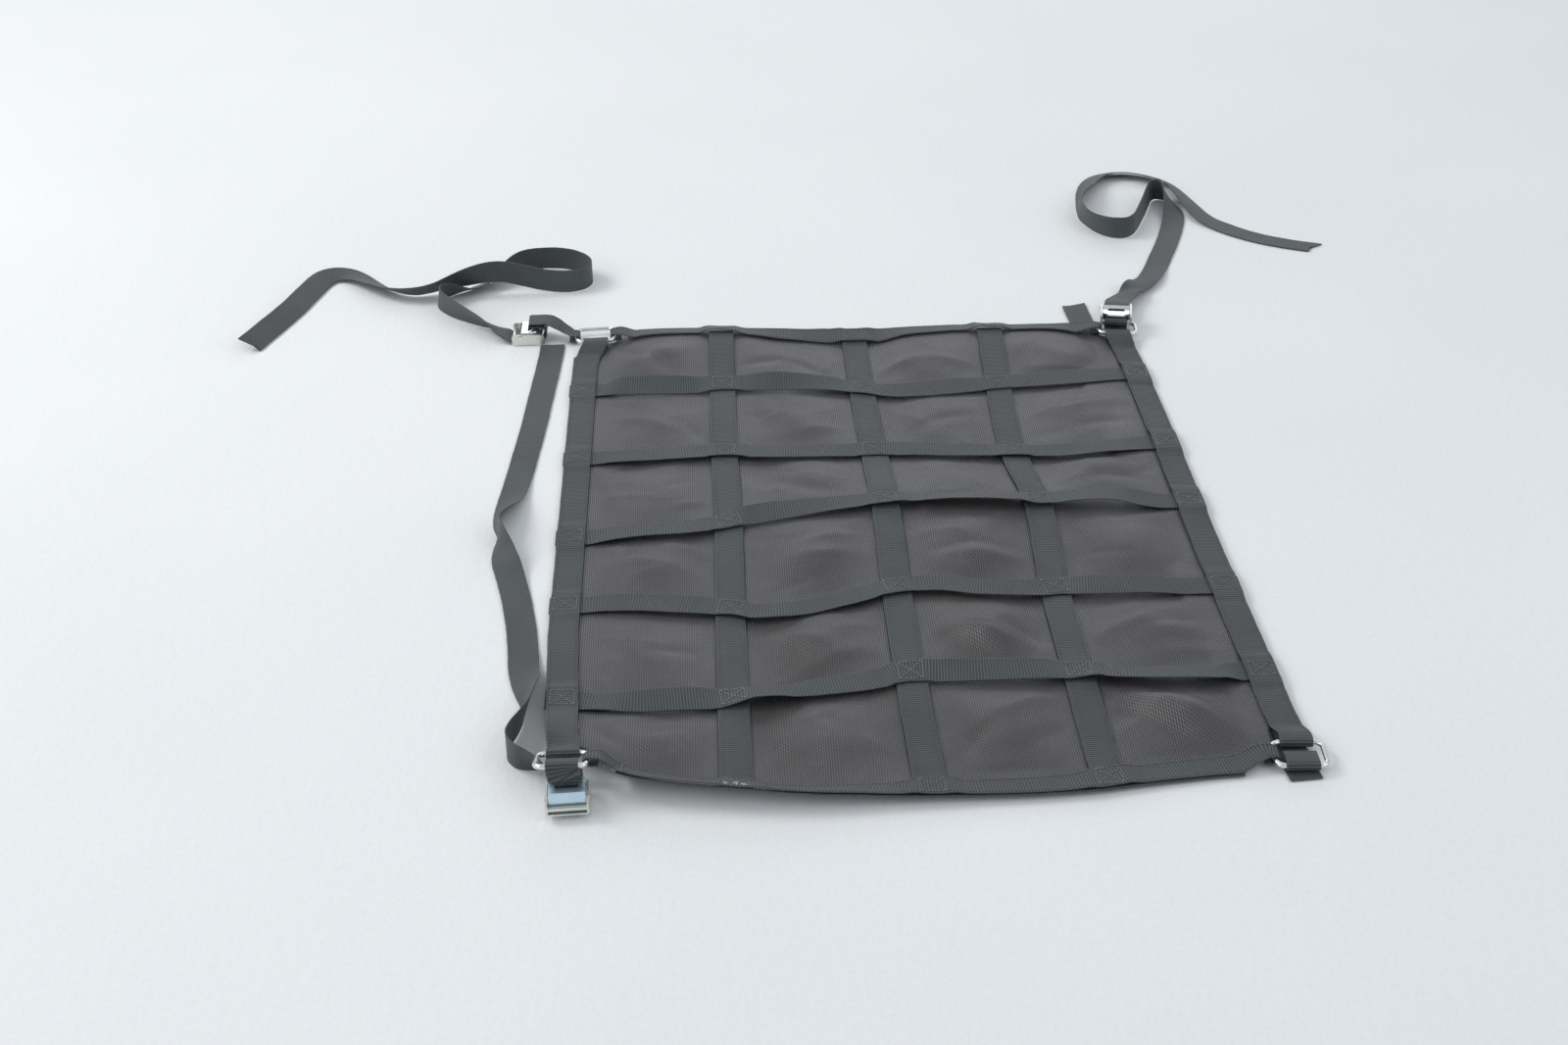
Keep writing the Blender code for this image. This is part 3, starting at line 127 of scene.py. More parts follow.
# cross webbings: rows of column number (0 left border, 4 right border), y, height of
# the middle, and bank with the far edge raised
COL0, COL_PITCH = -275.0, 137.5
CROSS_WEBS = {
    "strap_h1": (
        (0.12, 258.0, 2.4, 0), (0.30, 256.6, 5, 20), (0.73, 253.3, 5.5, 18), (1, 257, 5, 5),
        (1.39, 250.7, 10, 20), (1.72, 248.8, 7, 6), (2, 239.8, 4.3, -3), (2.28, 230.5, 5.5, 5),
        (2.57, 233.2, 6, 10), (3, 241.8, 4.3, 2), (3.29, 243.3, 6, 6), (3.58, 246.8, 5.5, 5),
        (3.87, 250.8, 2.4, 0),
    ),
    "strap_h2": (
        (0.10, 119.3, 2.4, 0), (0.19, 119.6, 3, -3), (0.46, 116.3, 6, -3), (0.73, 118.1, 6, -4),
        (1, 120.9, 4.5, -4), (1.26, 113.8, 6.5, -4), (1.6, 110.5, 7, -3), (2, 113.7, 4.5, 0),
        (2.27, 110.2, 6, 0), (2.6, 103.8, 6.5, -2), (3, 102.3, 4.3, -6), (3.27, 96.7, 6.5, -3),
        (3.61, 103.1, 6, -4), (3.9, 108.0, 2.4, 0),
    ),
    "strap_h3": (
        (0.10, -23.6, 2.4, 0), (0.16, -22.8, 3, -3), (0.41, -19.5, 5, -6), (0.72, -17.8, 6, -4),
        (1, -9.8, 5, 0), (1.17, -5.4, 9, 15), (1.43, -2.7, 12, 8), (1.69, -1.2, 15, -2),
        (2, 1.7, 16, -8), (2.18, 1.2, 15.5, -14), (2.53, -1.8, 15, -21), (2.85, -4.2, 14, -18),
        (3, -5.7, 14, -8), (3.24, -3.4, 16, -8), (3.5, -1.9, 15, -4), (3.68, -2.3, 10, 4),
        (3.9, -1.0, 3, 0),
    ),
    "strap_h4": (
        (0.09, -133.6, 2.4, 0), (0.12, -133.4, 3, 1), (0.42, -136.3, 5, 2), (0.72, -143.4, 6, 3),
        (1, -149.7, 4.3, -4), (1.2, -159.4, 7, -6), (1.44, -157.9, 8, -4), (1.68, -147.2, 8.5, -4),
        (2, -132.2, 9, -4), (2.23, -130.4, 10, -2), (2.53, -139.3, 10, -2), (2.83, -141, 8.5, 0),
        (3, -137.1, 6, 0), (3.25, -140.7, 9, 7), (3.55, -141.4, 8, 4), (3.9, -142.5, 2.8, 0),
    ),
    "strap_h5": (
        (0.09, -281, 3.0, 0), (0.16, -282, 7, -10), (0.44, -285.7, 10, 8), (0.72, -283.2, 9, 11),
        (1, -278.9, 4.5, -6), (1.17, -277.3, 6, -20), (1.45, -274, 8, -5), (1.74, -269.3, 9, 0),
        (2, -259.3, 9, 8), (2.2, -260.9, 11, 12), (2.48, -263.7, 12, 8), (2.77, -263.4, 11, 4),
        (3, -262.3, 7, -6), (3.21, -269.6, 9, -18), (3.55, -274, 10, -15), (3.83, -271, 6, -10),
        (3.93, -269, 3.2, 0),
    ),
}
# corner rings: centre x, y, z, turn about Z, rise of the near bar
RINGS = {
    "ring_tl": (-268.0, 376.0, 6.0, 3.0, 0.0),
    "ring_tr": (271.5, 350.5, 6.4, -8.0, 6.0),
    "ring_bl": (-266.5, -382.0, 28.0, 0.0, 18.0),
    "ring_br": (281.5, -381.0, 6.6, -3.0, 0.0),
}
# cam buckles: x, y, z of the middle of the tab end, heading towards the strap end
BUCKLES = {
    "buckle_tl": (-320.5, 384.7, 0.0, 180.0),
    "buckle_tr": (268.8, 345.6, 11.2, 79.8),
    "buckle_bl": (-263.5, -384.5, 4.2, -87.5),
}
# loose pull straps: rows of x, y, height of the middle, bank (left edge of travel raised)
STRAP_TL = (
    (-333, 384.7, 2.55, 0), (-345, 384.7, 2.6, 0), (-354.5, 384.9, 2.9, 0), (-363, 387.5, 7.0, 10),
    (-372, 396, 10.0, 30), (-382, 404, 10.0, 48), (-396, 415, 11.0, 62), (-410, 428, 12.0, 74),
    (-424, 443, 12.8, 84), (-435, 459, 13.1, 92), (-437.5, 472, 12.9, 102), (-430, 484.5, 11.2, 122),
    (-419, 492.5, 8.2, 142), (-407.5, 499.5, 6.2, 156), (-396.5, 509, 6.2, 156), (-385.5, 521.5, 8.6, 138),
    (-374, 535, 11.8, 113), (-364, 547, 12.8, 100), (-351, 557, 13.2, 92), (-334, 561, 13.2, 90), (-315, 560, 13.2, 90), (-297, 553, 13.2, 90),
    (-284, 541, 13.2, 90), (-277, 527, 13.2, 90), (-277, 514, 13.2, 90), (-285, 502, 13.2, 90),
    (-303, 496.5, 13.4, 92), (-326, 498, 15.2, 92), (-350, 500.5, 20.5, 91), (-371, 500.5, 25.4, 88),
    (-388, 498, 26.2, 83), (-403, 497, 23.6, 74), (-421, 497.5, 18.4, 60), (-437, 496.5, 14.0, 50),
    (-450, 493.5, 11.4, 46), (-464, 490.5, 10.2, 43), (-480, 493, 9.2, 38), (-495.6, 502.3, 8.0, 32),
    (-510, 517, 6.6, 26), (-523, 532.5, 5.2, 17), (-535.5, 546, 4.4, 6), (-549, 553.5, 4.6, -6),
    (-561.5, 552, 5.4, -14), (-570, 542.5, 6.0, -20), (-575.5, 528, 6.5, -24), (-583, 501, 7.0, -27),
    (-594, 462, 7.3, -29), (-602.7, 437.3, 7.5, -30), (-614.2, 406.4, 7.7, -31), (-624.6, 377.8, 8.0, -33),
)
STRAP_TR = (
    (271.1, 358.5, 13.75, 0), (272.8, 368, 13.75, 0), (274.8, 379, 13.8, 0), (276.8, 389, 15.5, 0),
    (280.3, 400, 13.8, 0), (286, 412, 10.5, -4), (293, 424, 9.0, -10), (299, 434, 8.8, -15), (305, 443, 8.8, 10),
    (311, 452, 7.8, 13), (318, 461, 5.6, 2), (327, 475, 4.0, -6), (335, 492, 2.6, -4), (343, 512, 1.2, 0),
    (352, 536, 1.0, 0), (362, 562, 1.0, 0), (372, 590, 1.0, 0), (381, 618, 1.2, 2),
    (388, 645, 2.6, 12), (390.5, 668, 6.0, 32), (388.5, 688, 10.0, 58), (383, 700, 12.6, 80),
    (376.5, 703, 13.3, 92), (370, 697, 13.3, 96), (364, 682, 13.2, 98), (357, 662, 13.1, 97),
    (349, 640, 13.1, 96), (340, 617, 13.2, 94), (333, 603, 13.2, 92), (323.5, 594.5, 13.2, 90),
    (311.5, 594.5, 13.2, 88), (300, 601, 13.0, 84), (290.5, 613, 12.9, 80), (284, 629, 12.9, 82),
    (281, 650, 13.1, 92), (284, 673, 12.8, 106), (290.5, 698, 11.3, 124), (299.5, 728, 7.6, 148),
    (308, 750, 5.8, 158), (320, 767, 5.6, 159), (332, 774, 5.7, 158), (346, 776.5, 5.8, 158), (360, 774, 5.8, 158),
    (374, 766.5, 5.8, 157), (385, 756.5, 6.0, 156), (395, 743, 6.6, 152), (401, 728, 7.4, 148), (405.6, 709, 7.0, 150), (412.7, 675, 5.1, 160), (422, 639, 2.6, 172),
    (442, 609.5, 1.1, 180), (467, 584, 1.0, 180), (495, 565, 1.0, 180), (525.5, 550.5, 1.0, 180),
)
# from under the cam, down past the tab and away to the far corner
STRAP_BL = (
    (-262.3, -412.5, 6.75, 0), (-262.8, -400.5, 6.75, 0), (-263.0, -395.5, 6.75, 0),
    (-263.1, -392.4, 6.7, 0), (-263.2, -390.9, 5.8, 0), (-263.3, -389.6, 4.3, 0), (-263.4, -387.8, 3.2, 0),
    (-263.6, -383.5, 2.4, 0), (-265, -379, 2.4, 2), (-269.5, -373.5, 3.8, 15), (-276, -368.0, 7.2, 38),
    (-285, -363.5, 10.6, 60), (-294, -359.5, 12.3, 75), (-303, -355, 13.0, 86),
    (-309, -347, 13.2, 90), (-311, -337, 13.2, 91), (-308.5, -325, 13.1, 94), (-304, -313, 12.8, 98),
    (-300, -300, 12.4, 104), (-298.5, -286, 11.5, 112), (-299, -271, 9.5, 126), (-301, -256, 6.5, 146),
    (-303.5, -241, 3.6, 163), (-306, -224, 1.8, 174), (-308, -200, 1.1, 179), (-311, -170, 1.0, 180),
    (-316, -135, 1.0, 180), (-322, -102, 1.3, 178), (-328, -76, 3.0, 168), (-333.5, -56, 6.5, 146),
    (-337.5, -38, 10.2, 118), (-339.5, -20, 11.6, 98), (-339.5, 0, 10.0, 122), (-337, 22, 6.2, 148),
    (-333.5, 48, 3.0, 168), (-330, 84, 1.2, 178), (-326, 132, 1.0, 180), (-321.5, 190, 1.0, 180),
    (-318, 250, 1.0, 180), (-314.5, 306, 1.0, 180), (-312.5, 345, 1.0, 180), (-312, 366, 1.0, 180),
)
# under the right border, its end showing behind the far edge
STRAP_BR = (
    (281.5, -405, 1.05, 0), (279.5, -380, 1.05, 0), (276.5, -340, 1.05, 0), (270, -250, 1.05, 0),
    (262, -120, 1.05, 0), (254, 20, 1.05, 0), (247, 160, 1.05, 0), (242.5, 280, 1.05, 0),
    (240, 355, 1.05, 0), (238.5, 395, 1.05, 0), (237.5, 420, 1.05, 0),
)
CUT_SLANT = {"strap_tl": -0.35, "strap_tr": -0.70, "strap_br": -0.3, "strap_bl": 0.0}


# ------------------------------------------------------------------ curves from tables
def along(table, at):
    """Smooth reading of a table of rows (position, value, ...) at positions `at`."""
    rows = sorted(tuple(float(v) for v in row) for row in table)
    t = np.array([row[0] for row in rows])
    values = np.array([row[1:] for row in rows])
    slope = np.diff(values, axis=0) / np.diff(t)[:, None]
    flat = np.vstack([slope[:1], (slope[1:] + slope[:-1]) / 2, slope[-1:]])
    for i in range(1, len(t) - 1):  # no overshoot at a turning point
        flat[i] = np.where(slope[i - 1] * slope[i] <= 0, 0, flat[i])
    at = np.clip(np.atleast_1d(np.asarray(at, float)), t[0], t[-1])
    i = np.clip(np.searchsorted(t, at, side="right") - 1, 0, len(t) - 2)
    d = (t[i + 1] - t[i])[:, None]
    f = ((at - t[i])[:, None]) / d
    a, b = values[i], values[i + 1]
    ma, mb = flat[i] * d, flat[i + 1] * d
    return (
        (2 * f**3 - 3 * f**2 + 1) * a
        + (f**3 - 2 * f**2 + f) * ma
        + (3 * f**2 - 2 * f**3) * b
        + (f**3 - f**2) * mb
    )


def smooth_through(rows, step):
    """Points every `step` along a smooth curve through rows whose first three columns are a place."""
    rows = np.asarray(rows, float)
    gaps = np.linalg.norm(np.diff(rows[:, :3], axis=0), axis=1)
    t = np.concatenate([[0], np.cumsum(np.maximum(gaps, 1e-6) ** 0.5)])
    first = rows[0] + (rows[0] - rows[1])
    last = rows[-1] + (rows[-1] - rows[-2])
    pts = np.vstack([first, rows, last])
    tt = np.concatenate([[t[0] - (t[1] - t[0])], t, [t[-1] + (t[-1] - t[-2])]])
    out = []
    for i in range(len(rows) - 1):
        p0, p1, p2, p3 = pts[i : i + 4]
        t0, t1, t2, t3 = tt[i : i + 4]
        count = max(1, int(math.ceil(gaps[i] / step)))
        for k in range(count):
            s = t1 + (t2 - t1) * k / count
            a1 = (t1 - s) / (t1 - t0) * p0 + (s - t0) / (t1 - t0) * p1
            a2 = (t2 - s) / (t2 - t1) * p1 + (s - t1) / (t2 - t1) * p2
            a3 = (t3 - s) / (t3 - t2) * p2 + (s - t2) / (t3 - t2) * p3
            b1 = (t2 - s) / (t2 - t0) * a1 + (s - t0) / (t2 - t0) * a2
            b2 = (t3 - s) / (t3 - t1) * a2 + (s - t1) / (t3 - t1) * a3
            out.append((t2 - s) / (t2 - t1) * b1 + (s - t1) / (t2 - t1) * b2)
    out.append(rows[-1])
    return np.array(out)


def tangents(points):
    d = np.gradient(points, axis=0)
    return d / np.linalg.norm(d, axis=1)[:, None]


def square_to(sides, t):
    sides = sides - (sides * t).sum(1)[:, None] * t
    return sides / np.linalg.norm(sides, axis=1)[:, None]


# ------------------------------------------------------------------ the sheet's surface
def row_lines(x):
    """y and sheet height of the nine lines that cross the net at x, far edge first."""
    x = np.atleast_1d(np.asarray(x, float))
    far, near = along(FAR_EDGE, x), along(NEAR_EDGE, x)
    ys, hs = [far[:, 0]], [far[:, 1]]
    ys.append(far[:, 0] - np.sqrt(WEB_W**2 - (far[:, 2] - far[:, 1]) ** 2))
    hs.append(far[:, 2])
    for y5, h5 in CROSS_ROWS:
        both = along(tuple(zip(LINE_X, y5, h5)), x)
        ys.append(both[:, 0])
        hs.append(both[:, 1])
    ys.append(near[:, 0] + np.sqrt(WEB_W**2 - (near[:, 2] - near[:, 1]) ** 2))
    hs.append(near[:, 2])
    ys.append(near[:, 0])
    hs.append(near[:, 1])
    return np.array(ys), np.array(hs)


def sheet_height(x, y, creases=True):
    """Height of the underside of the sheet."""
    x, y = np.broadcast_arrays(np.atleast_1d(np.asarray(x, float)), np.asarray(y, float))
    x, y = x.ravel(), y.ravel()
    ys, hs = row_lines(x)
    h = np.where(y >= ys[0], hs[0], np.where(y <= ys[8], hs[8], 0.0))
    for k in range(8):
        f = (ys[k] - y) / (ys[k] - ys[k + 1])
        inside = (f >= 0) & (f <= 1)
        blend = f if k in (0, 7) else f * f * (3 - 2 * f)
        here = hs[k] + (hs[k + 1] - hs[k]) * blend
        if 1 <= k <= 6:
            for c in range(4):
                a = (x - LINE_X[c] - WEB_W / 2) / (LINE_X[c + 1] - LINE_X[c] - WEB_W)
                window = np.sin(np.pi * np.clip(a, 0, 1)) ** 2 * np.sin(np.pi * np.clip(f, 0, 1)) ** 2
                here = here + BAY_RISE[k - 1][c] * window
        h = np.where(inside, here, h)
    if creases:
        for x0, y0, x1, y1, rise, half in CREASES:
            long = math.hypot(x1 - x0, y1 - y0)
            ex, ey = (x1 - x0) / long, (y1 - y0) / long
            s = (x - x0) * ex + (y - y0) * ey
            d = -(x - x0) * ey + (y - y0) * ex
            h = h + rise * np.sin(np.pi * np.clip(s / long, 0, 1)) ** 2 * np.exp(-((d / half) ** 2))
    under = along([(row[1], row[0]) for row in STRAP_BR], y)[:, 0]
    ramp = np.clip((np.abs(x - under) - WEB_W / 2 - 9.0) / 12.0, 0, 1)
    lift = (WEB_T + 2 * GAP + 0.15) * (1 - ramp * ramp * (3 - 2 * ramp))
    return np.maximum(np.maximum(h - 0.35, lift), 0.0)  # flat where it meets the surface


def sheet_top(x, y):
    return sheet_height(x, y) + MESH_T


# ------------------------------------------------------------------ webbing laid on things
def laid(centre, side, tops, bank=None, clear=GAP, width=WEB_W, reach=5.0, soft=4):
    """Middle line and side vectors of webbing laid over `tops`, each a height function.
    centre: (n, 2) places; side: (n, 2) unit vectors to its left edge."""
    n = len(centre)
    run = np.gradient(centre, axis=0)
    run /= np.linalg.norm(run, axis=1)[:, None]
    ks = np.linspace(-width / 2, width / 2, 7)
    need = np.full((n, len(ks)), -1e9)
    for j in (-reach, -reach / 2, 0, reach / 2, reach):
        for i, k in enumerate(ks):
            x = centre[:, 0] + k * side[:, 0] + j * run[:, 0]
            y = centre[:, 1] + k * side[:, 1] + j * run[:, 1]
            for top in tops:
                need[:, i] = np.maximum(need[:, i], top(x, y))
    if bank is None:
        tilt = (need[:, -1] - need[:, 0]) / width
        tilt = running(tilt, soft)
    else:
        tilt = np.tan(np.radians(bank))
    z = (need - ks[None, :] * tilt[:, None]).max(1) + clear + WEB_T / 2 * np.sqrt(1 + tilt**2)
    z = running(np.array([z[max(0, i - 1) : i + 2].max() for i in range(n)]), 1)
    cos = 1 / np.sqrt(1 + tilt**2)
    points = np.column_stack([centre, z])
    sides = np.column_stack([side * cos[:, None], tilt * cos])
    return points, sides


def running(values, half):
    """Running mean, the ends kept."""
    values = np.asarray(values, float)
    return np.array([
        values[max(0, i - half) : i + half + 1].mean(axis=0) if half <= i < len(values) - half else values[i]
        for i in range(len(values))
    ])


def strip_top(points, sides, axis, width=WEB_W, lo=-1e9, hi=1e9):
    """Height function of the upper face of webbing that runs along axis 0 (x) or 1 (y)."""
    order = np.argsort(points[:, axis])
    p, s = points[order], sides[order]
    flat = s[:, :2] / np.linalg.norm(s[:, :2], axis=1)[:, None]
    tilt = s[:, 2] / np.linalg.norm(s[:, :2], axis=1)

    def top(x, y):
        m = x if axis == 0 else y
        c = [np.interp(m, p[:, axis], p[:, i]) for i in range(3)]
        f = [np.interp(m, p[:, axis], flat[:, i]) for i in range(2)]
        t = np.interp(m, p[:, axis], tilt)
        k = (x - c[0]) * f[0] + (y - c[1]) * f[1]
        inside = (np.abs(k) <= width / 2 + 0.6) & (m >= p[0, axis] - 0.6) & (m <= p[-1, axis] + 0.6)
        inside &= (m >= lo) & (m <= hi)
        return np.where(inside, c[2] + k * t + WEB_T / 2 * np.sqrt(1 + t * t), -1e9)

    return top


def round_bar(centre, across, out, up, radius, first, last, step=30.0):
    """Points of webbing folded round a bar: angle 0 is on top, 90 on the `out` side."""
    count = max(2, int(abs(last - first) / step) + 1)
    angles = np.radians(np.linspace(first, last, count))
    centre, out, up = (np.asarray(v, float) for v in (centre, out, up))
    return [(centre + radius * (up * math.cos(a) + out * math.sin(a)), across) for a in angles]


def rows7(points, sides, width=WEB_W):
    width = np.broadcast_to(width, (len(points),))
    return np.column_stack([points, sides, width])


def bar_of(ring, which):
    """Middle, direction, outward and up vectors of one bar of a ring: near, far, left or right."""
    x, y, z, turn, rise = RINGS[ring]
    m = Matrix.Rotation(math.radians(turn), 3, "Z") @ Matrix.Rotation(math.radians(-rise), 3, "X")
    ax, ay, az = (np.array(m @ Vector(v)) for v in ((1, 0, 0), (0, 1, 0), (0, 0, 1)))
    long, short = (RING_L - WIRE_D) / 2, (RING_S - WIRE_D) / 2
    c = np.array([x, y, z])
    return {
        "near": (c - short * ay, ax, -ay, az),
        "far": (c + short * ay, ax, ay, az),
        "left": (c - long * ax, ay, -ax, az),
        "right": (c + long * ax, ay, ax, az),
    }[which]


def fold_on(bar, across, into, tail, width, lead=8.0, turn=180.0):
    """Rows that take webbing over a bar, round it and back under it. `into` is the way
    the webbing travels over the bar."""
    c, up = bar[0], bar[3]
    into, across = np.asarray(into, float), np.asarray(across, float)
    rows = [np.concatenate([c + up * WRAP_R - into * lead, across, [(WEB_W + width) / 2]])]
    rows += [np.concatenate([q, v, [width]]) for q, v in round_bar(c, across, into, up, WRAP_R, 0, turn, 22.5)]
    rows.append(np.concatenate([c - up * WRAP_R - into * tail, across, [width]]))
    return rows


def between_bars(points, sides, start_bar, end_bar, sign, tails=(8.0, 8.0), width=WEB_W, keep=22.0):
    """Laid webbing whose two ends are folded round bars."""
    first, last = start_bar[0], end_bar[0]
    out_a, out_b = -np.asarray(start_bar[2], float), -np.asarray(end_bar[2], float)
    inside = ((points - first) @ out_a < -keep) & ((points - last) @ out_b < -keep)
    middle = [np.concatenate([q, v, [WEB_W]]) for q, v in zip(points[inside][::2], sides[inside][::2])]
    head = fold_on(start_bar, sign * start_bar[1], out_a, tails[0], width)
    tail = fold_on(end_bar, sign * end_bar[1], out_b, tails[1], width)
    return np.array(head[::-1] + middle + tail)



def lay_strap(rows):
    """Rows of x, y, z, bank of a loose strap, to place, side vector and width."""
    fine = smooth_through([(x, y, z, math.radians(b)) for x, y, z, b in rows], FINE)
    t = tangents(fine[:, :3])
    run = t[:, :2] / np.linalg.norm(t[:, :2], axis=1)[:, None]
    left = np.column_stack([-run[:, 1], run[:, 0], np.zeros(len(run))])
    left = square_to(left, t)
    up = np.cross(t, left)
    b = fine[:, 3:4]
    side = left * np.cos(b) + up * np.sin(b)
    face = np.cross(t, side)
    lowest = WEB_W / 2 * np.abs(side[:, 2]) + WEB_T / 2 * np.abs(face[:, 2]) + 0.3
    fine[:, 2] = np.maximum(fine[:, 2], lowest)
    return rows7(fine[:, :3], side)



# ------------------------------------------------------------------ camera, floor, light
def to_model(p):
    p = np.asarray(p, float)
    return (p - np.array([ORIGIN_X, ORIGIN_Y, 0.0])) * MM


def make_camera():
    tilt, roll, yaw = 0.537611276, -0.019498045, 0.031364557
    forward = Vector((math.sin(yaw) * math.cos(tilt), math.cos(yaw) * math.cos(tilt), -math.sin(tilt)))
    right = Vector((math.cos(yaw), -math.sin(yaw), 0))
    up = right.cross(forward)
    x_axis = math.cos(roll) * right + math.sin(roll) * up
    y_axis = -math.sin(roll) * right + math.cos(roll) * up
    data = bpy.data.cameras.new("camera")
    data.lens, data.sensor_width, data.sensor_fit = 50.0, 36.0, "HORIZONTAL"
    data.clip_start, data.clip_end = 0.05, 30
    camera = bpy.data.objects.new("camera", data)
    bpy.context.scene.collection.objects.link(camera)
    matrix = Matrix((x_axis, y_axis, -forward)).transposed().to_4x4()
    matrix.translation = Vector(to_model((-140.37, -1671.28, 992.88)))
    camera.matrix_world = matrix
    bpy.context.scene.camera = camera
    return camera


def area_light(name, place_at, aim, size, energy, colour):
    data = bpy.data.lights.new(name, "AREA")
    data.shape = "RECTANGLE"
    data.size, data.size_y = size
    data.energy = energy
    data.color = colour
    obj = bpy.data.objects.new(name, data)
    bpy.context.scene.collection.objects.link(obj)
    obj.location = place_at
    obj.rotation_euler = (Vector(aim) - Vector(place_at)).to_track_quat("-Z", "Y").to_euler()
    return obj


def make_room():
    world = bpy.data.worlds.new("studio")
    world.use_nodes = True
    bpy.context.scene.world = world
    back = world.node_tree.nodes["Background"]
    back.inputs["Color"].default_value = (0.90, 0.945, 1.0, 1)
    back.inputs["Strength"].default_value = 0.60
    area_light("key", (-2.5, 0.9, 2.3), (0.2, 0, 0), (1.5, 1.3), 46, (1.0, 0.99, 0.975))
    area_light("window", (-2.8, -1.6, 2.0), (-0.2, -0.3, 0), (1.8, 1.6), 18, (0.97, 0.985, 1.0))
    area_light("far", (0.5, 3.6, 1.5), (0, 0, 0), (3.4, 1.3), 20, (0.97, 0.985, 1.0))
    area_light("fill", (2.4, -1.2, 2.3), (0, 0, 0), (2.2, 2.2), 17.5, (0.95, 0.975, 1.0))
    mesh = bpy.data.meshes.new("floor")
    shape = bmesh.new()
    bmesh.ops.create_grid(shape, x_segments=1, y_segments=1, size=7)
    bmesh.ops.translate(shape, vec=(0, 0, -0.0004), verts=shape.verts)
    shape.to_mesh(mesh)
    shape.free()
    floor = bpy.data.objects.new("floor", mesh)
    bpy.context.scene.collection.objects.link(floor)
    mat, nt, shader = new_material("floor_plain", (0.82, 0.835, 0.84), 0.8)
    coords = nt.nodes.new("ShaderNodeTexCoord")
    fine = noise(nt, coords.outputs["Object"], 240.0, 3.0)
    broad = noise(nt, coords.outputs["Object"], 2.2, 2.0)
    tone = ramp(nt, broad, ((0.25, (0.80, 0.815, 0.818)), (0.8, (0.845, 0.856, 0.858))))
    speck = ramp(nt, fine, ((0.3, (0.965, 0.965, 0.965)), (0.7, (1.0, 1.0, 1.0))))
    nt.links.new(mixed(nt, "MULTIPLY", 1.0, tone, speck), shader.inputs["Base Color"])
    brushed = nt.nodes.new("ShaderNodeVectorMath")
    brushed.operation = "MULTIPLY"
    brushed.inputs[1].default_value = (1.0, 0.45, 1.0)
    nt.links.new(coords.outputs["Object"], brushed.inputs[0])
    paint = noise(nt, brushed.outputs[0], 120.0, 4.0, 0.6)
    bump(nt, shader, paint, 0.5, 0.0011)
    mesh.materials.append(mat)
    bpy.context.scene.view_settings.view_transform = "Standard"


# ------------------------------------------------------------------ material building
def new_material(name, colour, roughness, metallic=0.0):
    mat = bpy.data.materials.new(name)
    mat.use_nodes = True
    shader = mat.node_tree.nodes["Principled BSDF"]
    shader.inputs["Base Color"].default_value = (*colour, 1)
    shader.inputs["Roughness"].default_value = roughness
    shader.inputs["Metallic"].default_value = metallic
    mat.diffuse_color = (*colour, 1)
    return mat, mat.node_tree, shader


def noise(nt, vector, scale, detail=2.0, roughness=0.5):
    node = nt.nodes.new("ShaderNodeTexNoise")
    node.inputs["Scale"].default_value = scale
    node.inputs["Detail"].default_value = detail
    node.inputs["Roughness"].default_value = roughness
    if vector is not None:
        nt.links.new(vector, node.inputs["Vector"])
    return node.outputs["Fac"]


def ramp(nt, value, stops):
    node = nt.nodes.new("ShaderNodeValToRGB")
    nt.links.new(value, node.inputs["Fac"])
    while len(node.color_ramp.elements) < len(stops):
        node.color_ramp.elements.new(0.5)
    for element, (at, colour) in zip(node.color_ramp.elements, stops):
        element.position = at
        element.color = (*colour, 1) if len(colour) == 3 else colour
    return node.outputs["Color"]


def math_node(nt, operation, a, b=None, c=None):
    node = nt.nodes.new("ShaderNodeMath")
    node.operation = operation
    for slot, value in zip(node.inputs, (a, b, c)):
        if value is None:
            continue
        if isinstance(value, (int, float)):
            slot.default_value = value
        else:
            nt.links.new(value, slot)
    return node.outputs[0]


def mixed(nt, blend, factor, a, b):
    node = nt.nodes.new("ShaderNodeMix")
    node.data_type = "RGBA"
    node.blend_type = blend
    if isinstance(factor, (int, float)):
        node.inputs[0].default_value = factor
    else:
        nt.links.new(factor, node.inputs[0])
    for slot, value in ((node.inputs[6], a), (node.inputs[7], b)):
        if isinstance(value, tuple):
            slot.default_value = (*value, 1) if len(value) == 3 else value
        else:
            nt.links.new(value, slot)
    return node.outputs[2]


def bump(nt, shader, height, strength, distance):
    node = nt.nodes.new("ShaderNodeBump")
    node.inputs["Strength"].default_value = strength
    node.inputs["Distance"].default_value = distance
    nt.links.new(height, node.inputs["Height"])
    nt.links.new(node.outputs["Normal"], shader.inputs["Normal"])
    return node


def attribute(nt, name):
    node = nt.nodes.new("ShaderNodeAttribute")
    node.attribute_type = "GEOMETRY"
    node.attribute_name = name
    split = nt.nodes.new("ShaderNodeSeparateXYZ")
    nt.links.new(node.outputs["Vector"], split.inputs[0])
    return node.outputs["Vector"], split.outputs[0], split.outputs[1], split.outputs[2]


RIB = 2.4  # pitch of the cross ribs, mm
WARP = 1.25  # width of one warp end, mm


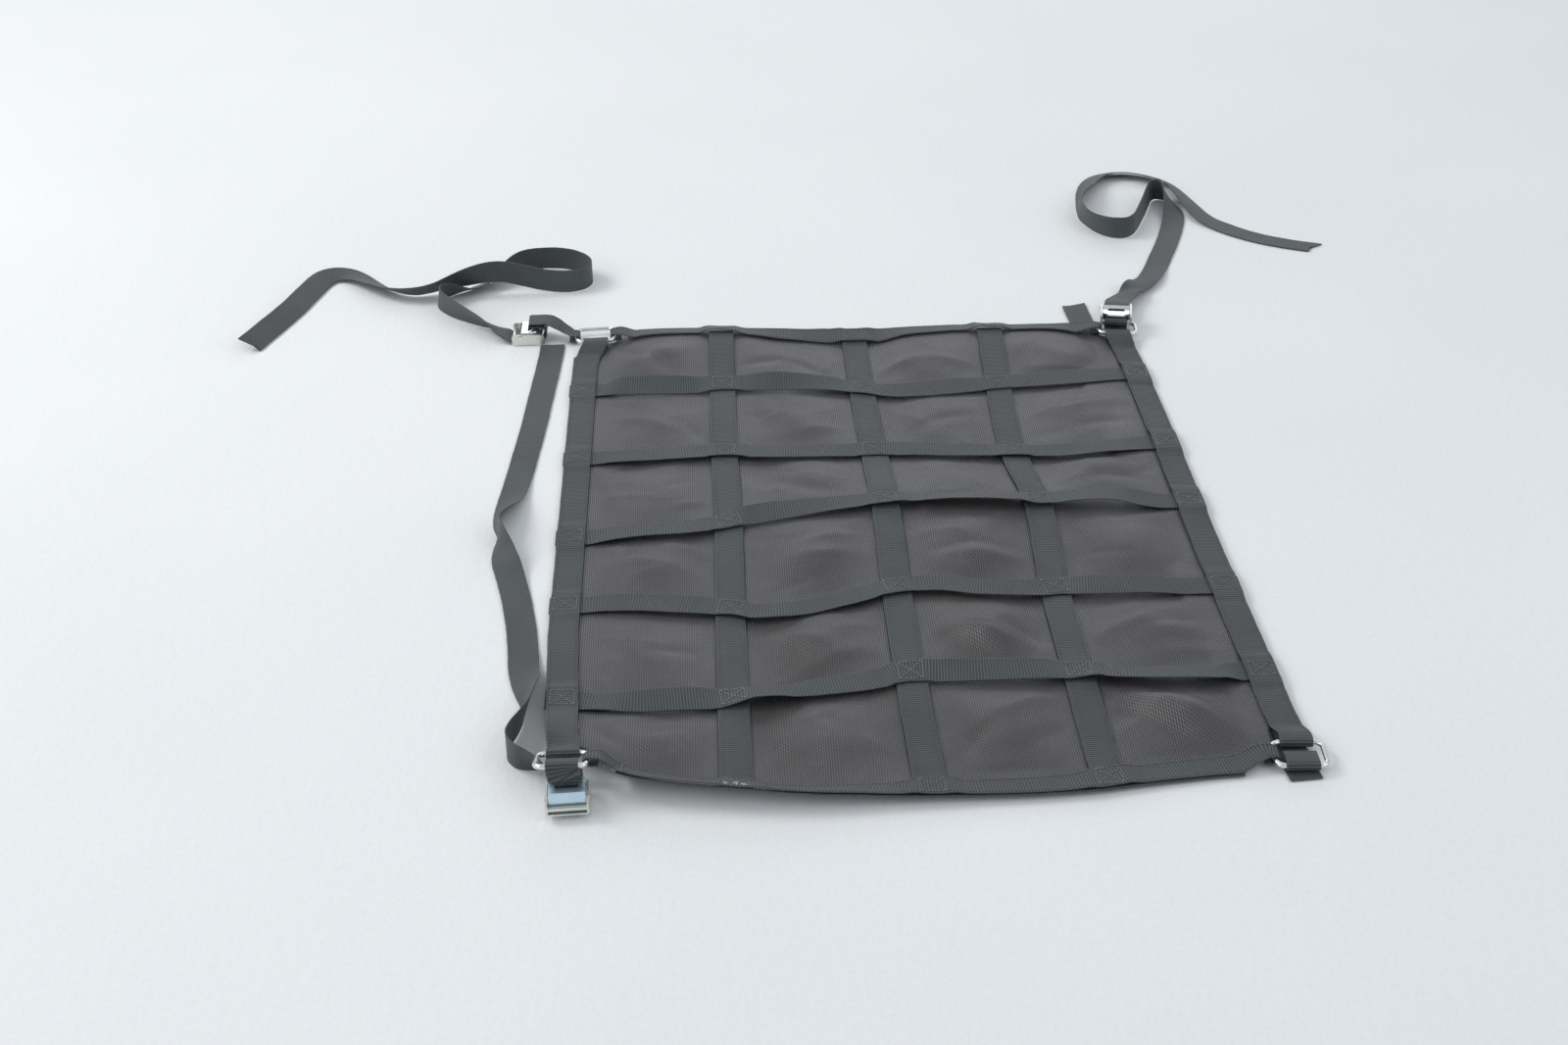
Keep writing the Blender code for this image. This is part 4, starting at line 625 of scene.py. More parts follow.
def webbing_material(name="webbing", base=(0.043, 0.0495, 0.0525), light=(0.096, 0.108, 0.113), selvedge_extra=0.0, rib_valley_shade=0.34, relief=0.9):
    """Flat woven webbing: cross ribs, warp ends half a rib out of step, painted shade between the ribs and painted
    highlight on their tops, dust specks, lighter selvedges.
    """
    mat, nt, shader = new_material(name, base, 0.62)
    lay, across, run, _ = attribute(nt, "lay")
    step = math_node(nt, "MODULO", math_node(nt, "FLOOR", math_node(nt, "DIVIDE", math_node(nt, "ADD", across, 500.0), WARP)), 2.0)
    phase = math_node(nt, "ADD", math_node(nt, "MULTIPLY", run, 2 * math.pi / RIB), math_node(nt, "MULTIPLY", step, 0.9))
    ribs = math_node(nt, "MULTIPLY_ADD", math_node(nt, "SINE", phase), 0.5, 0.5)
    ends = math_node(nt, "ABSOLUTE", math_node(nt, "SINE", math_node(nt, "MULTIPLY", across, math.pi / WARP)))
    height = math_node(nt, "ADD", math_node(nt, "MULTIPLY", ribs, 0.72), math_node(nt, "MULTIPLY", ends, 0.28))
    scaled = nt.nodes.new("ShaderNodeVectorMath")
    scaled.operation = "MULTIPLY"
    scaled.inputs[1].default_value = (0.9, 0.07, 1.0)
    nt.links.new(lay, scaled.inputs[0])
    streak = noise(nt, scaled.outputs[0], 1.1, 3.0, 0.6)
    coords = nt.nodes.new("ShaderNodeTexCoord")
    patch = noise(nt, coords.outputs["Object"], 16.0, 3.0, 0.55)
    dust = noise(nt, coords.outputs["Object"], 420.0, 2.0, 0.6)
    # painted shade and highlight: darker in the valleys between the ribs, lighter on the rib tops, following the
    # bump's height
    tone = ramp(nt, height, ((0.10, tuple(v * rib_valley_shade for v in base)), (0.55, base), (0.95, light)))
    tone = mixed(nt, "MULTIPLY", 1.0, tone, ramp(nt, streak, ((0.3, (0.86, 0.86, 0.87)), (0.7, (1.10, 1.10, 1.09)))))
    tone = mixed(nt, "MULTIPLY", 1.0, tone, ramp(nt, patch, ((0.3, (0.86, 0.86, 0.87)), (0.72, (1.16, 1.155, 1.14)))))
    lint = ramp(nt, dust, ((0.70, (0, 0, 0)), (0.82, (1, 1, 1))))
    tone = mixed(nt, "MIX", math_node(nt, "MULTIPLY", lint, 0.16), tone, (0.34, 0.35, 0.35))
    # lighter along each selvedge, mixed towards the rib-top colour
    edge = math_node(nt, "GREATER_THAN", math_node(nt, "ABSOLUTE", across), WEB_W / 2 - 1.1)
    tone = mixed(nt, "MIX", math_node(nt, "MULTIPLY", edge, 0.22 + selvedge_extra), tone, light)
    nt.links.new(tone, shader.inputs["Base Color"])
    rough = math_node(nt, "MULTIPLY_ADD", streak, 0.25, 0.46)
    nt.links.new(rough, shader.inputs["Roughness"])
    shader.inputs["Specular IOR Level"].default_value = 0.40
    shader.inputs["Sheen Weight"].default_value = 0.08
    shader.inputs["Sheen Roughness"].default_value = 0.5
    bump(nt, shader, height, relief, 0.0005)
    return mat


def mesh_material():
    """Coated open weave: warp cords and thinner weft cords, with painted shade between them, painted highlight on
    their tops and painted glints along the warp cords.
    """
    mat, nt, shader = new_material("coated_mesh_weave", (0.098, 0.092, 0.093), 0.5)
    lay, x, y, _ = attribute(nt, "lay")
    pitch = 1.9
    warp = math_node(nt, "ABSOLUTE", math_node(nt, "SINE", math_node(nt, "MULTIPLY", x, math.pi / pitch)))
    weft = math_node(nt, "ABSOLUTE", math_node(nt, "SINE", math_node(nt, "MULTIPLY", y, math.pi / pitch)))
    over = math_node(nt, "MULTIPLY_ADD", math_node(nt, "SINE", math_node(nt, "ADD",
        math_node(nt, "MULTIPLY", x, math.pi / pitch), math_node(nt, "MULTIPLY", y, math.pi / pitch))), 0.14, 0.0)
    height = math_node(nt, "MAXIMUM", math_node(nt, "MULTIPLY", warp, 1.0), math_node(nt, "MULTIPLY", weft, 0.86))
    height = math_node(nt, "ADD", height, over)
    coords = nt.nodes.new("ShaderNodeTexCoord")
    patch = noise(nt, coords.outputs["Object"], 9.0, 4.0, 0.6)
    light_rough_patch = noise(nt, coords.outputs["Object"], 26.0, 5.0, 0.62)
    fine = noise(nt, coords.outputs["Object"], 330.0, 2.0, 0.6)
    # painted glint: the warp cords are brightened where light would catch them
    cords = math_node(nt, "POWER", warp, 3.0)
    # painted shade in the gaps between the cords, painted highlight on the cord tops
    tone = ramp(nt, height, ((0.50, (0.006, 0.0057, 0.0059)), (0.76, (0.037, 0.0348, 0.0352)), (0.99, (0.086, 0.081, 0.082))))
    tone = mixed(nt, "ADD", math_node(nt, "MULTIPLY", cords, 0.55), tone, (0.054, 0.051, 0.052))
    tone = mixed(nt, "MULTIPLY", 1.0, tone, ramp(nt, patch, ((0.28, (0.70, 0.69, 0.69)), (0.74, (1.32, 1.32, 1.34)))))
    # lighter patches from noise, rougher where lighter
    tone = mixed(nt, "MULTIPLY", 1.0, tone, ramp(nt, light_rough_patch, ((0.34, (0.80, 0.80, 0.80)), (0.60, (1.0, 1.0, 1.0)), (0.78, (1.6, 1.6, 1.63)))))
    tone = mixed(nt, "MULTIPLY", 1.0, tone, ramp(nt, fine, ((0.3, (0.90, 0.90, 0.90)), (0.7, (1.10, 1.10, 1.10)))))
    nt.links.new(tone, shader.inputs["Base Color"])
    nt.links.new(math_node(nt, "MULTIPLY_ADD", light_rough_patch, 0.34, 0.24), shader.inputs["Roughness"])
    shader.inputs["Specular IOR Level"].default_value = 0.62
    bump(nt, shader, height, 0.75, 0.00045)
    return mat


def metal_material(name, colour, rough, tint=(0.9, 0.9, 0.9), scratch=0.25, scale=60.0):
    mat, nt, shader = new_material(name, colour, rough, 1.0)
    coords = nt.nodes.new("ShaderNodeTexCoord")
    cloud = noise(nt, coords.outputs["Object"], scale, 4.0, 0.6)
    stretched = nt.nodes.new("ShaderNodeVectorMath")
    stretched.operation = "MULTIPLY"
    stretched.inputs[1].default_value = (1.0, 12.0, 12.0)
    nt.links.new(coords.outputs["Object"], stretched.inputs[0])
    lines = noise(nt, stretched.outputs[0], 90.0, 3.0, 0.7)
    darker = tuple(c * t for c, t in zip(colour, tint))
    nt.links.new(ramp(nt, cloud, ((0.3, darker), (0.68, colour))), shader.inputs["Base Color"])
    nt.links.new(math_node(nt, "MULTIPLY_ADD", cloud, 0.25, rough - 0.1), shader.inputs["Roughness"])
    bump(nt, shader, lines, scratch, 0.00006)
    return mat


def thread_material(name="thread", gain=1.0):
    mat, nt, shader = new_material(name, (0.26, 0.27, 0.275), 0.55)
    coords = nt.nodes.new("ShaderNodeTexCoord")
    fibre = noise(nt, coords.outputs["Object"], 1500.0, 2.0, 0.6)
    patch = noise(nt, coords.outputs["Object"], 30.0, 2.0, 0.6)
    tone = ramp(nt, fibre, ((0.3, tuple(v * gain for v in (0.17, 0.18, 0.185))), (0.75, tuple(v * gain for v in (0.36, 0.37, 0.375)))))
    tone = mixed(nt, "MULTIPLY", 1.0, tone, ramp(nt, patch, ((0.3, (0.8, 0.8, 0.8)), (0.7, (1.25, 1.25, 1.25)))))
    nt.links.new(tone, shader.inputs["Base Color"])
    bump(nt, shader, fibre, 0.4, 0.0002)
    return mat


MATS = {}
ROWS = {}  # laid webbing: places, side vectors, widths
LAID = {}  # height functions of webbing that runs along x or y
BODY = "net"
SLOT = {"webbing": "webbing", "mesh": "coated_mesh", "ring": "ring_steel", "buckle": "buckle_steel", "lever": "lever_steel"}


def piece(name, mesh, mat, body=BODY):
    obj = bpy.data.objects.new(name, mesh)
    bpy.context.scene.collection.objects.link(obj)
    if mat is not None:
        mesh.materials.clear()
        mesh.materials.append(mat)
    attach(obj, body)
    return obj


def wobble(v, seed, wave):
    """Smooth repeatable unevenness along a length."""
    return (
        np.sin(v * 2 * math.pi / wave + seed * 1.7)
        + 0.6 * np.sin(v * 2 * math.pi / (wave * 0.43) + seed * 3.1 + 1.0)
        + 0.4 * np.sin(v * 2 * math.pi / (wave * 0.21) + seed * 5.3 + 2.0)
    ) / 2.0


# outline of the webbing: fraction of the half width, half thickness in mm
PROFILE = ((-1.0, 0.14), (-0.988, 0.42), (-0.955, 0.62), (-0.90, 0.655), (-0.80, 0.60), (-0.4, 0.60),
           (0.0, 0.60), (0.4, 0.60), (0.80, 0.60), (0.90, 0.655), (0.955, 0.62), (0.988, 0.42), (1.0, 0.14))
LOOSE = {"strap_tl": 1.0, "strap_tr": 2.0, "strap_bl": 3.0, "strap_br": 4.0}


def webbing(name, rows, mat, collection, allowed=0.2, slant=0.0, longest=60.0):
    """The fine webbing along the same rows as the model's, with its selvedges."""
    rows = smooth_through(rows, FINE)  # the same line as the solid
    step = 1.0 if name in LOOSE else 0.8
    rows = smooth_through(rows, 1.6)
    p = rows[:, :3]
    t = tangents(p)
    s = square_to(rows[:, 3:6], t)
    n = np.cross(t, s)
    half = rows[:, 6] / 2
    v = np.concatenate([[0], np.cumsum(np.linalg.norm(np.diff(p, axis=0), axis=1))])
    ROWS[name] = (p, s, rows[:, 6])
    seed = float(sum(ord(ch) for ch in name) % 17)
    left_w = 0.16 * wobble(v, seed, 47.0)
    right_w = 0.16 * wobble(v, seed + 4.0, 39.0)
    cup = (0.22 if name in LOOSE else 0.10) * wobble(v, seed + 9.0, 83.0)
    profile = np.array(PROFILE)
    loop = [(k, h) for k, h in profile] + [(k, -h) for k, h in profile[::-1]]
    count = len(loop)
    verts, lay = [], []
    slant_len = slant * half[-1]
    for i in range(len(p)):
        for k, h in loop:
            edge = half[i] * k + (left_w[i] if k > 0 else -right_w[i]) * abs(k)
            lift = cup[i] * (k * k - 0.4) + h * step * 1.0
            if i == len(p) - 1 and slant:
                q = p[i] + s[i] * edge + n[i] * lift + t[i] * slant_len * k
            else:
                q = p[i] + s[i] * edge + n[i] * lift
            verts.append(q)
            lay.append((k * WEB_W / 2, v[i] + (slant_len * k if i == len(p) - 1 else 0.0), 1.0 if h > 0 else 0.0))
    faces = []
    for i in range(len(p) - 1):
        for j in range(count):
            a, b = i * count + j, i * count + (j + 1) % count
            faces.append((a, a + count, b + count, b))
    faces.append(tuple(range(count)))
    faces.append(tuple(reversed(range((len(p) - 1) * count, len(p) * count))))
    mesh = bpy.data.meshes.new(name + "_weave")
    mesh.from_pydata([tuple(q) for q in to_model(verts)], [], faces)
    mesh.update()
    data = mesh.attributes.new("lay", "FLOAT_VECTOR", "POINT")
    data.data.foreach_set("vector", np.asarray(lay, np.float32).ravel())
    mesh.shade_smooth()
    mesh.set_sharp_from_angle(angle=math.radians(50))
    obj = piece(name + "_weave", mesh, MATS["loose"] if name in LOOSE else MATS["webbing"])
    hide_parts(name)
    return obj


# ------------------------------------------------------------------ the coated mesh
# creases in the sheet: from x, y to x, y, height, half width
FOLDS = (
    (-258, 359, -186, 284, -2.6, 9), (-253, 381, -159, 334, 1.6, 11), (-126, 296, -72, 304, -2.2, 8),
    (-72, 304, -15, 250, -2.2, 8), (-92, 274, -26, 258, 1.8, 9), (-120, 366, -75, 336, 1.8, 10),
    (-59, 344, -16, 289, 1.2, 9), (12, 269, 60, 299, 1.8, 8), (60, 299, 119, 279, 1.6, 8),
    (20, 312, 72, 343, 1.6, 12), (148, 273, 251, 257, 1.6, 9), (180, 335, 219, 289, -1.2, 9),
    (-248, 225, -201, 204, -1.8, 9), (-248, 194, -182, 166, 1.6, 9), (-186, 189, -157, 142, -1.4, 8),
    (-114, 221, -100, 156, -3.4, 10), (-94, 231, -35, 228, 2.2, 9), (-35, 228, -15, 200, 1.8, 8),
    (-83, 144, -17, 162, 1.4, 9), (18, 198, 54, 160, 1.8, 9), (47, 157, 111, 183, -1.6, 9),
    (145, 165, 204, 192, 1.8, 9), (182, 172, 261, 203, 2.0, 9), (196, 146, 259, 157, -1.5, 8),
    (-245, 90, -207, 109, -1.8, 9), (-203, 87, -161, 106, 1.5, 9), (-116, 92, -72, 64, -2.2, 9),
    (-92, 79, -23, 85, 1.8, 9), (15, 72, 82, 81, 1.4, 9), (149, 62, 221, 78, 2.0, 9),
    (166, 40, 249, 41, -1.6, 8), (-249, -184, -203, -201, 1.4, 9), (-209, -214, -164, -213, -1.5, 8),
    (-253, -163, -221, -251, -1.2, 9), (-108, -267, -15, -214, 2.2, 9), (-118, -192, -78, -180, -1.6, 9),
    (-59, -196, -16, -185, 1.2, 7), (26, -196, 87, -226, 2.2, 9), (16, -227, 66, -190, -1.6, 9),
    (72, -166, 112, -208, 1.6, 9), (147, -219, 203, -193, 1.8, 9), (160, -254, 210, -263, 1.2, 8),
    (-253, -319, -204, -372, -2.6, 10), (-249, -349, -189, -380, 1.6, 9), (-202, -301, -159, -365, 1.2, 9),
    (-122, -316, -88, -379, 1.2, 9), (-84, -295, -50, -342, -1.4, 9), (-49, -337, -15, -364, 1.5, 8),
    (19, -386, 66, -318, -2.6, 9), (66, -318, 120, -290, 2.2, 9), (30, -386, 80, -370, 1.6, 9),
    (76, -360, 116, -332, -1.4, 8), (143, -354, 201, -306, 2.4, 9), (152, -303, 177, -336, -1.8, 9),
    (144, -384, 187, -377, 1.5, 9), (-259, -68, -156, -95, 1.2, 10), (-115, -97, -18, -78, 1.6, 10),
    (14, -106, 112, -94, 1.6, 9), (-103, -130, -54, -108, -1.8, 8),
    (147, -279, 197, -316, 2.4, 7), (197, -316, 258, -364, 2.4, 7), (180, -302, 254, -339, 1.6, 6),
    (142, -306, 214, -365, -1.6, 8), (63, -205, 119, -239, 2.2, 7), (73, -189, 113, -228, -1.4, 6),
    (171, -196, 246, -172, 1.8, 9), (193, -208, 250, -193, -1.4, 7), (199, -241, 261, -238, 1.4, 8),
    (53, -326, 104, -290, 1.4, 8), (-255, 97, -242, -2, 1.3, 6), (-189, 20, -152, 31, 1.2, 6),
    (-114, 39, -73, 39, 1.6, 7), (-127, 85, -86, 54, -1.8, 8), (17, -53, 69, -62, 1.6, 6),
    (31, -78, 118, -81, -1.3, 6), (30, -91, 120, -97, 1.3, 6), (-120, -43, -59, -60, -1.5, 8),
    (-78, -65, -25, -50, 1.6, 7), (158, -37, 169, -88, -1.4, 7), (179, -25, 206, -46, 1.4, 8),
    (-202, -37, -150, -66, 1.6, 8), (-241, -60, -195, -44, -1.2, 8), (137, 31, 215, 46, 1.5, 7),
)


def folds(x, y):
    """Creases with a soft crest, and smaller ones with no order to them."""
    z = np.zeros(len(x))
    lines = list(FOLDS)
    draw = np.random.default_rng(11)
    for _ in range(150):
        cx, cy = draw.uniform(-270, 270), draw.uniform(-400, 380)
        a, half = draw.normal(0.35, 0.75), draw.uniform(14, 42)
        dx, dy = math.cos(a) * half, math.sin(a) * half
        lines.append((cx - dx, cy - dy, cx + dx, cy + dy, draw.uniform(-0.9, 1.1), draw.uniform(4.2, 8.0)))
    for x0, y0, x1, y1, rise, half in lines:
        size = math.hypot(x1 - x0, y1 - y0)
        ex, ey = (x1 - x0) / size, (y1 - y0) / size
        s = ((x - x0) * ex + (y - y0) * ey) / size
        d = -(x - x0) * ey + (y - y0) * ex - 0.05 * size * np.sin(np.pi * np.clip(s, 0, 1))
        ends = np.sin(np.pi * np.clip((s + 0.12) / 1.24, 0, 1)) ** 1.2
        z += 1.35 * rise * ends * np.exp(-np.abs(d / half) ** 1.5)
    return z


def soft_waves(x, y):
    """Fine unevenness of the sheet, in mm."""
    return (
        0.5 * np.sin(x / 17.0 + 0.6 * np.sin(y / 41.0)) * np.sin(y / 23.0 + 1.3)
        + 0.35 * np.sin((x + y) / 11.0 + 2.0 * np.sin(x / 53.0))
        + 0.3 * np.sin((x - 1.6 * y) / 19.0 + 1.1)
    )


def sheet_panel(collection, mat):
    columns, rows = 168, 234
    fx = np.linspace(0, 1, columns + 1)
    fy = np.linspace(0, 1, rows + 1)
    verts, lay, keep = [], [], []
    grid = np.zeros((columns + 1, rows + 1), int)
    for c, f in enumerate(fx):
        ys, _ = row_lines(-289.0 + f * 577.0)
        ys = ys[:, 0]
        y = ys[0] + (ys[8] - ys[0]) * fy
        left, right = along(LEFT_EDGE, y)[:, 0], along(RIGHT_EDGE, y)[:, 0]
        x = left + f * (right - left)
        z = sheet_height(x, y)
        inside = np.zeros(len(x))
        for k in range(1, 7):
            a = (ys[k] - y - 13.5) / (ys[k] - ys[k + 1] - 27.0)
            row_window = np.sin(np.pi * np.clip(a, 0, 1)) ** 0.45 * ((a > 0) & (a < 1))
            for b in range(4):
                g = (x - LINE_X[b] - 13.5) / (LINE_X[b + 1] - LINE_X[b] - 27.0)
                inside += row_window * np.sin(np.pi * np.clip(g, 0, 1)) ** 0.45 * ((g > 0) & (g < 1))
        z = np.maximum(z + inside * (0.8 * soft_waves(x, y) + folds(x, y) + 0.5), 0.06) + MESH_T / 2
        for r in range(rows + 1):
            grid[c, r] = len(verts)
            verts.append((x[r], y[r], z[r]))
            lay.append((x[r], y[r], 0.0))
    shape_faces = []
    band_x, band_y = WEB_W / 577.0, WEB_W / 800.0
    for c in range(columns):
        for r in range(rows):
            mx, my = (fx[c] + fx[c + 1]) / 2, (fy[r] + fy[r + 1]) / 2
            side_band = mx < band_x or mx > 1 - band_x
            end_band = my < band_y or my > 1 - band_y
            near_side = mx < 0.0926 or mx > 1 - 0.0926
            near_end = my < 0.062 or my > 1 - 0.062
            if (side_band and near_end) or (end_band and near_side):
                continue
            shape_faces.append((grid[c, r + 1], grid[c + 1, r + 1], grid[c + 1, r], grid[c, r]))
    used = sorted({i for face in shape_faces for i in face})
    renumber = {old: new for new, old in enumerate(used)}
    mesh = bpy.data.meshes.new("mesh_cloth")
    points = to_model(np.array(verts)[used])
    mesh.from_pydata([tuple(q) for q in points], [], [tuple(renumber[i] for i in face) for face in shape_faces])
    mesh.update()
    data = mesh.attributes.new("lay", "FLOAT_VECTOR", "POINT")
    data.data.foreach_set("vector", np.asarray(lay, np.float32)[used].ravel())
    mesh.shade_smooth()
    obj = piece("mesh_cloth", mesh, MATS["mesh"])
    solid = obj.modifiers.new("Thickness", "SOLIDIFY")
    solid.thickness = 0.8 * MM
    solid.offset = 0.0
    solid.use_even_offset = True
    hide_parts("mesh_panel")
    return obj


# ------------------------------------------------------------------ rings and buckles
def mesh_from_curve(obj):
    graph = bpy.context.evaluated_depsgraph_get()
    graph.update()
    mesh = bpy.data.meshes.new_from_object(obj.evaluated_get(graph))
    mesh.transform(obj.matrix_world)
    bpy.data.objects.remove(obj)
    shape = bmesh.new()
    shape.from_mesh(mesh)
    bmesh.ops.remove_doubles(shape, verts=shape.verts, dist=1e-6)
    shape.to_mesh(mesh)
    shape.free()
    return mesh


def rounded_ring(name, collection, mat):
    x, y, z, turn, rise = RINGS[name]
    long, short = (RING_L - WIRE_D) / 2, (RING_S - WIRE_D) / 2
    points = []
    for cx, cy, start in ((1, 1, 0), (-1, 1, 90), (-1, -1, 180), (1, -1, 270)):
        for k in range(13):
            a = math.radians(start + 7.5 * k)
            points.append((cx * (long - RING_R) + RING_R * math.cos(a), cy * (short - RING_R) + RING_R * math.sin(a)))
    curve = bpy.data.curves.new(name + "_wire", "CURVE")
    curve.dimensions = "3D"
    curve.bevel_depth = WIRE_D / 2 * MM
    curve.bevel_resolution = 7
    spline = curve.splines.new("POLY")
    spline.points.add(len(points) - 1)
    for point, (u, v) in zip(spline.points, points):
        point.co = (u * MM, v * MM, 0, 1)
    spline.use_cyclic_u = True
    obj = bpy.data.objects.new(name + "_wire", curve)
    bpy.context.scene.collection.objects.link(obj)
    turned = Matrix.Rotation(math.radians(turn), 4, "Z") @ Matrix.Rotation(math.radians(-rise), 4, "X")
    obj.matrix_world = Matrix.Translation(Vector(to_model((x, y, z)))) @ turned
    bpy.context.view_layer.update()
    mesh = mesh_from_curve(obj)
    mesh.shade_smooth()
    made = piece(name + "_wire", mesh, MATS["ring"])
    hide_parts(name)
    return made


def buckle_parts(name, parts, tools, steel, bright):
    # the near-left lever takes the painted sky reflection
    for node, mat in ((name, "buckle"), (name + "_pin", "lever"), (name + "_lever", "painted_sky_blue" if name == "buckle_bl" else "lever")):
        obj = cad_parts[node]
        for slot in obj.material_slots:
            slot.material = MATS[mat]
        if not obj.material_slots:
            obj.data.materials.append(MATS[mat])


# ------------------------------------------------------------------ stitching
STITCH_L, STITCH_R = 2.7, 0.33


class Threads:
    """Many short stitches in one mesh: each a slim six-pointed bead lying on the cloth."""

    def __init__(self):
        self.verts, self.faces = [], []

    def add(self, a, b, up, radius=STITCH_R):
        a, b, up = (np.asarray(q, float) for q in (a, b, up))
        d = b - a
        size = np.linalg.norm(d)
        if size < 1e-6:
            return
        d /= size
        side = np.cross(up, d)
        side /= np.linalg.norm(side)
        up = np.cross(d, side)
        base = len(self.verts)
        ring = [(0.0, 1.0), (1.0, 0.35), (0.75, -0.6), (-0.75, -0.6), (-1.0, 0.35)]
        self.verts.append(a - up * radius * 0.9)
        for f in (0.16, 0.5, 0.84):
            grow = 0.8 if f != 0.5 else 1.0
            for cx, cz in ring:
                self.verts.append(a + d * size * f + side * cx * radius * grow + up * cz * radius * grow)
        self.verts.append(b - up * radius * 0.9)
        for j in range(5):
            k = (j + 1) % 5
            self.faces.append((base, base + 1 + k, base + 1 + j))
            for ring_i in (0, 1):
                o = base + 1 + 5 * ring_i
                self.faces.append((o + j, o + k, o + 5 + k, o + 5 + j))
            o = base + 11
            self.faces.append((o + j, o + k, base + 16))

    def line(self, top, x0, y0, x1, y1, pitch=3.3, lift=0.12):
        size = math.hypot(x1 - x0, y1 - y0)
        count = max(1, int(size / pitch))
        for i in range(count):
            f0, f1 = (i + 0.1) / count, (i + 0.1 + STITCH_L / pitch * 0.95) / count
            xs = np.array([x0 + (x1 - x0) * f for f in (f0, f1)])
            ys = np.array([y0 + (y1 - y0) * f for f in (f0, f1)])
            zs = top(xs, ys)
            if zs.min() < -100:
                continue
            self.add((xs[0], ys[0], zs[0] + lift), (xs[1], ys[1], zs[1] + lift), (0, 0, 1))

    def along_edge(self, p, s, n, width, inset, pitch=3.3, skip=0.0):
        v = np.concatenate([[0], np.cumsum(np.linalg.norm(np.diff(p, axis=0), axis=1))])
        q = p + s * (width / 2 - inset)[:, None] + n * (WEB_T / 2 * 0.93 + 0.1)
        at = np.arange(skip, v[-1] - skip - pitch, pitch)
        for a in at:
            ends = [np.array([np.interp(w, v, q[:, i]) for i in range(3)]) for w in (a, a + STITCH_L)]
            up = np.array([np.interp(a, v, n[:, i]) for i in range(3)])
            self.add(ends[0], ends[1], up)

    def finish(self, name, mat):
        mesh = bpy.data.meshes.new(name)
        mesh.from_pydata([tuple(q) for q in to_model(self.verts)], [], self.faces)
        mesh.update()
        mesh.shade_smooth()
        return piece(name, mesh, mat)


def frames_of(name):
    p, s, w = ROWS[name]
    return p, s, np.cross(tangents(p), s), w


def stitching():
    crossing, edges = Threads(), Threads()
    # box and cross where a cross webbing lies on a long one
    for h in CROSS_WEBS:
        p, s, _ = ROWS[h]
        top = strip_top(p, s, 0)
        for v in LONG_WEBS:
            q = ROWS[v][0]
            order = np.argsort(p[:, 0])
            # where the two middle lines meet
            x_mid = float(np.interp(p[:, 1].mean(), np.sort(q[:, 1]), q[np.argsort(q[:, 1]), 0]))
            for _ in range(3):
                y_mid = float(np.interp(x_mid, p[order, 0], p[order, 1]))
                x_mid = float(np.interp(y_mid, np.sort(q[:, 1]), q[np.argsort(q[:, 1]), 0]))
            slope = float(np.interp(x_mid + 5, p[order, 0], p[order, 1]) - np.interp(x_mid - 5, p[order, 0], p[order, 1])) / 10
            a, b = 9.6, 9.4
            corners = [(x_mid + i * a - j * b * slope, y_mid + j * b + i * a * slope) for i, j in ((-1, -1), (1, -1), (1, 1), (-1, 1))]
            for i in range(4):
                crossing.line(top, *corners[i], *corners[(i + 1) % 4])
            crossing.line(top, *corners[0], *corners[2])
            crossing.line(top, *corners[1], *corners[3])
    # ends of the cross webbings under the side borders, ends of the long ones under the others
    for name, axis in (("border_left", 1), ("border_right", 1), ("border_top", 0), ("border_bottom", 0)):
        p, s, n, w = frames_of(name)
        inner = slice(int(len(p) * 0.02), int(len(p) * 0.98))
        top = strip_top(p[inner], s[inner], axis)
        order = np.argsort(p[:, axis])
        for other in CROSS_WEBS if axis == 1 else LONG_WEBS:
            q = ROWS[other][0]
            if axis == 1:
                i = 0 if name == "border_left" else -1
                y_mid = q[i, 1] if (q[0, 0] < q[-1, 0]) else q[-1 - i, 1]
                x_mid = float(np.interp(y_mid, p[order, 1], p[order, 0]))
            else:
                i = 0 if name == "border_bottom" else -1
                x_mid = q[i, 0]
                y_mid = float(np.interp(x_mid, p[order, 0], p[order, 1]))
            a = b = 9.5
            corners = [(x_mid + i * a, y_mid + j * b) for i, j in ((-1, -1), (1, -1), (1, 1), (-1, 1))]
            for i in range(4):
                crossing.line(top, *corners[i], *corners[(i + 1) % 4])
            crossing.line(top, *corners[0], *corners[2])
            crossing.line(top, *corners[1], *corners[3])
        for sign in (1, -1):
            edges.along_edge(p, s * sign, n, w, 2.2, skip=16.0)
    for name in LONG_WEBS:
        p, s, n, w = frames_of(name)
        for sign in (1, -1):
            edges.along_edge(p, s * sign, n, w, 2.4, skip=6.0)
    # frayed ends at the near rim
    frayed = Threads()
    draw = np.random.default_rng(5)
    for cx, spread, count in ((-139.0, 9.5, 16), (-236.0, 12.0, 12)):
        for _ in range(count):
            fx = cx + draw.uniform(-spread, spread)
            edge = along(NEAR_EDGE, fx)[0]
            base = np.array([fx, edge[0] + 1.2, edge[1] + MESH_T + 3.0])
            tip = base + np.array([draw.uniform(-2.8, 2.8), draw.uniform(-1.8, 0.4), draw.uniform(-1.8, 0.3)])
            frayed.add(base, tip, (0, 0, 1), 0.26)
    frayed.finish("frayed_ends", MATS["fray"])
    crossing.finish("stitching_crosses", MATS["thread"])
    edges.finish("stitching_edges", MATS["seam"])



def edge_run(table, y, inset):
    """Middle of a side border at y, `inset` from the outer edge."""
    return along(table, y)[:, 0] + inset


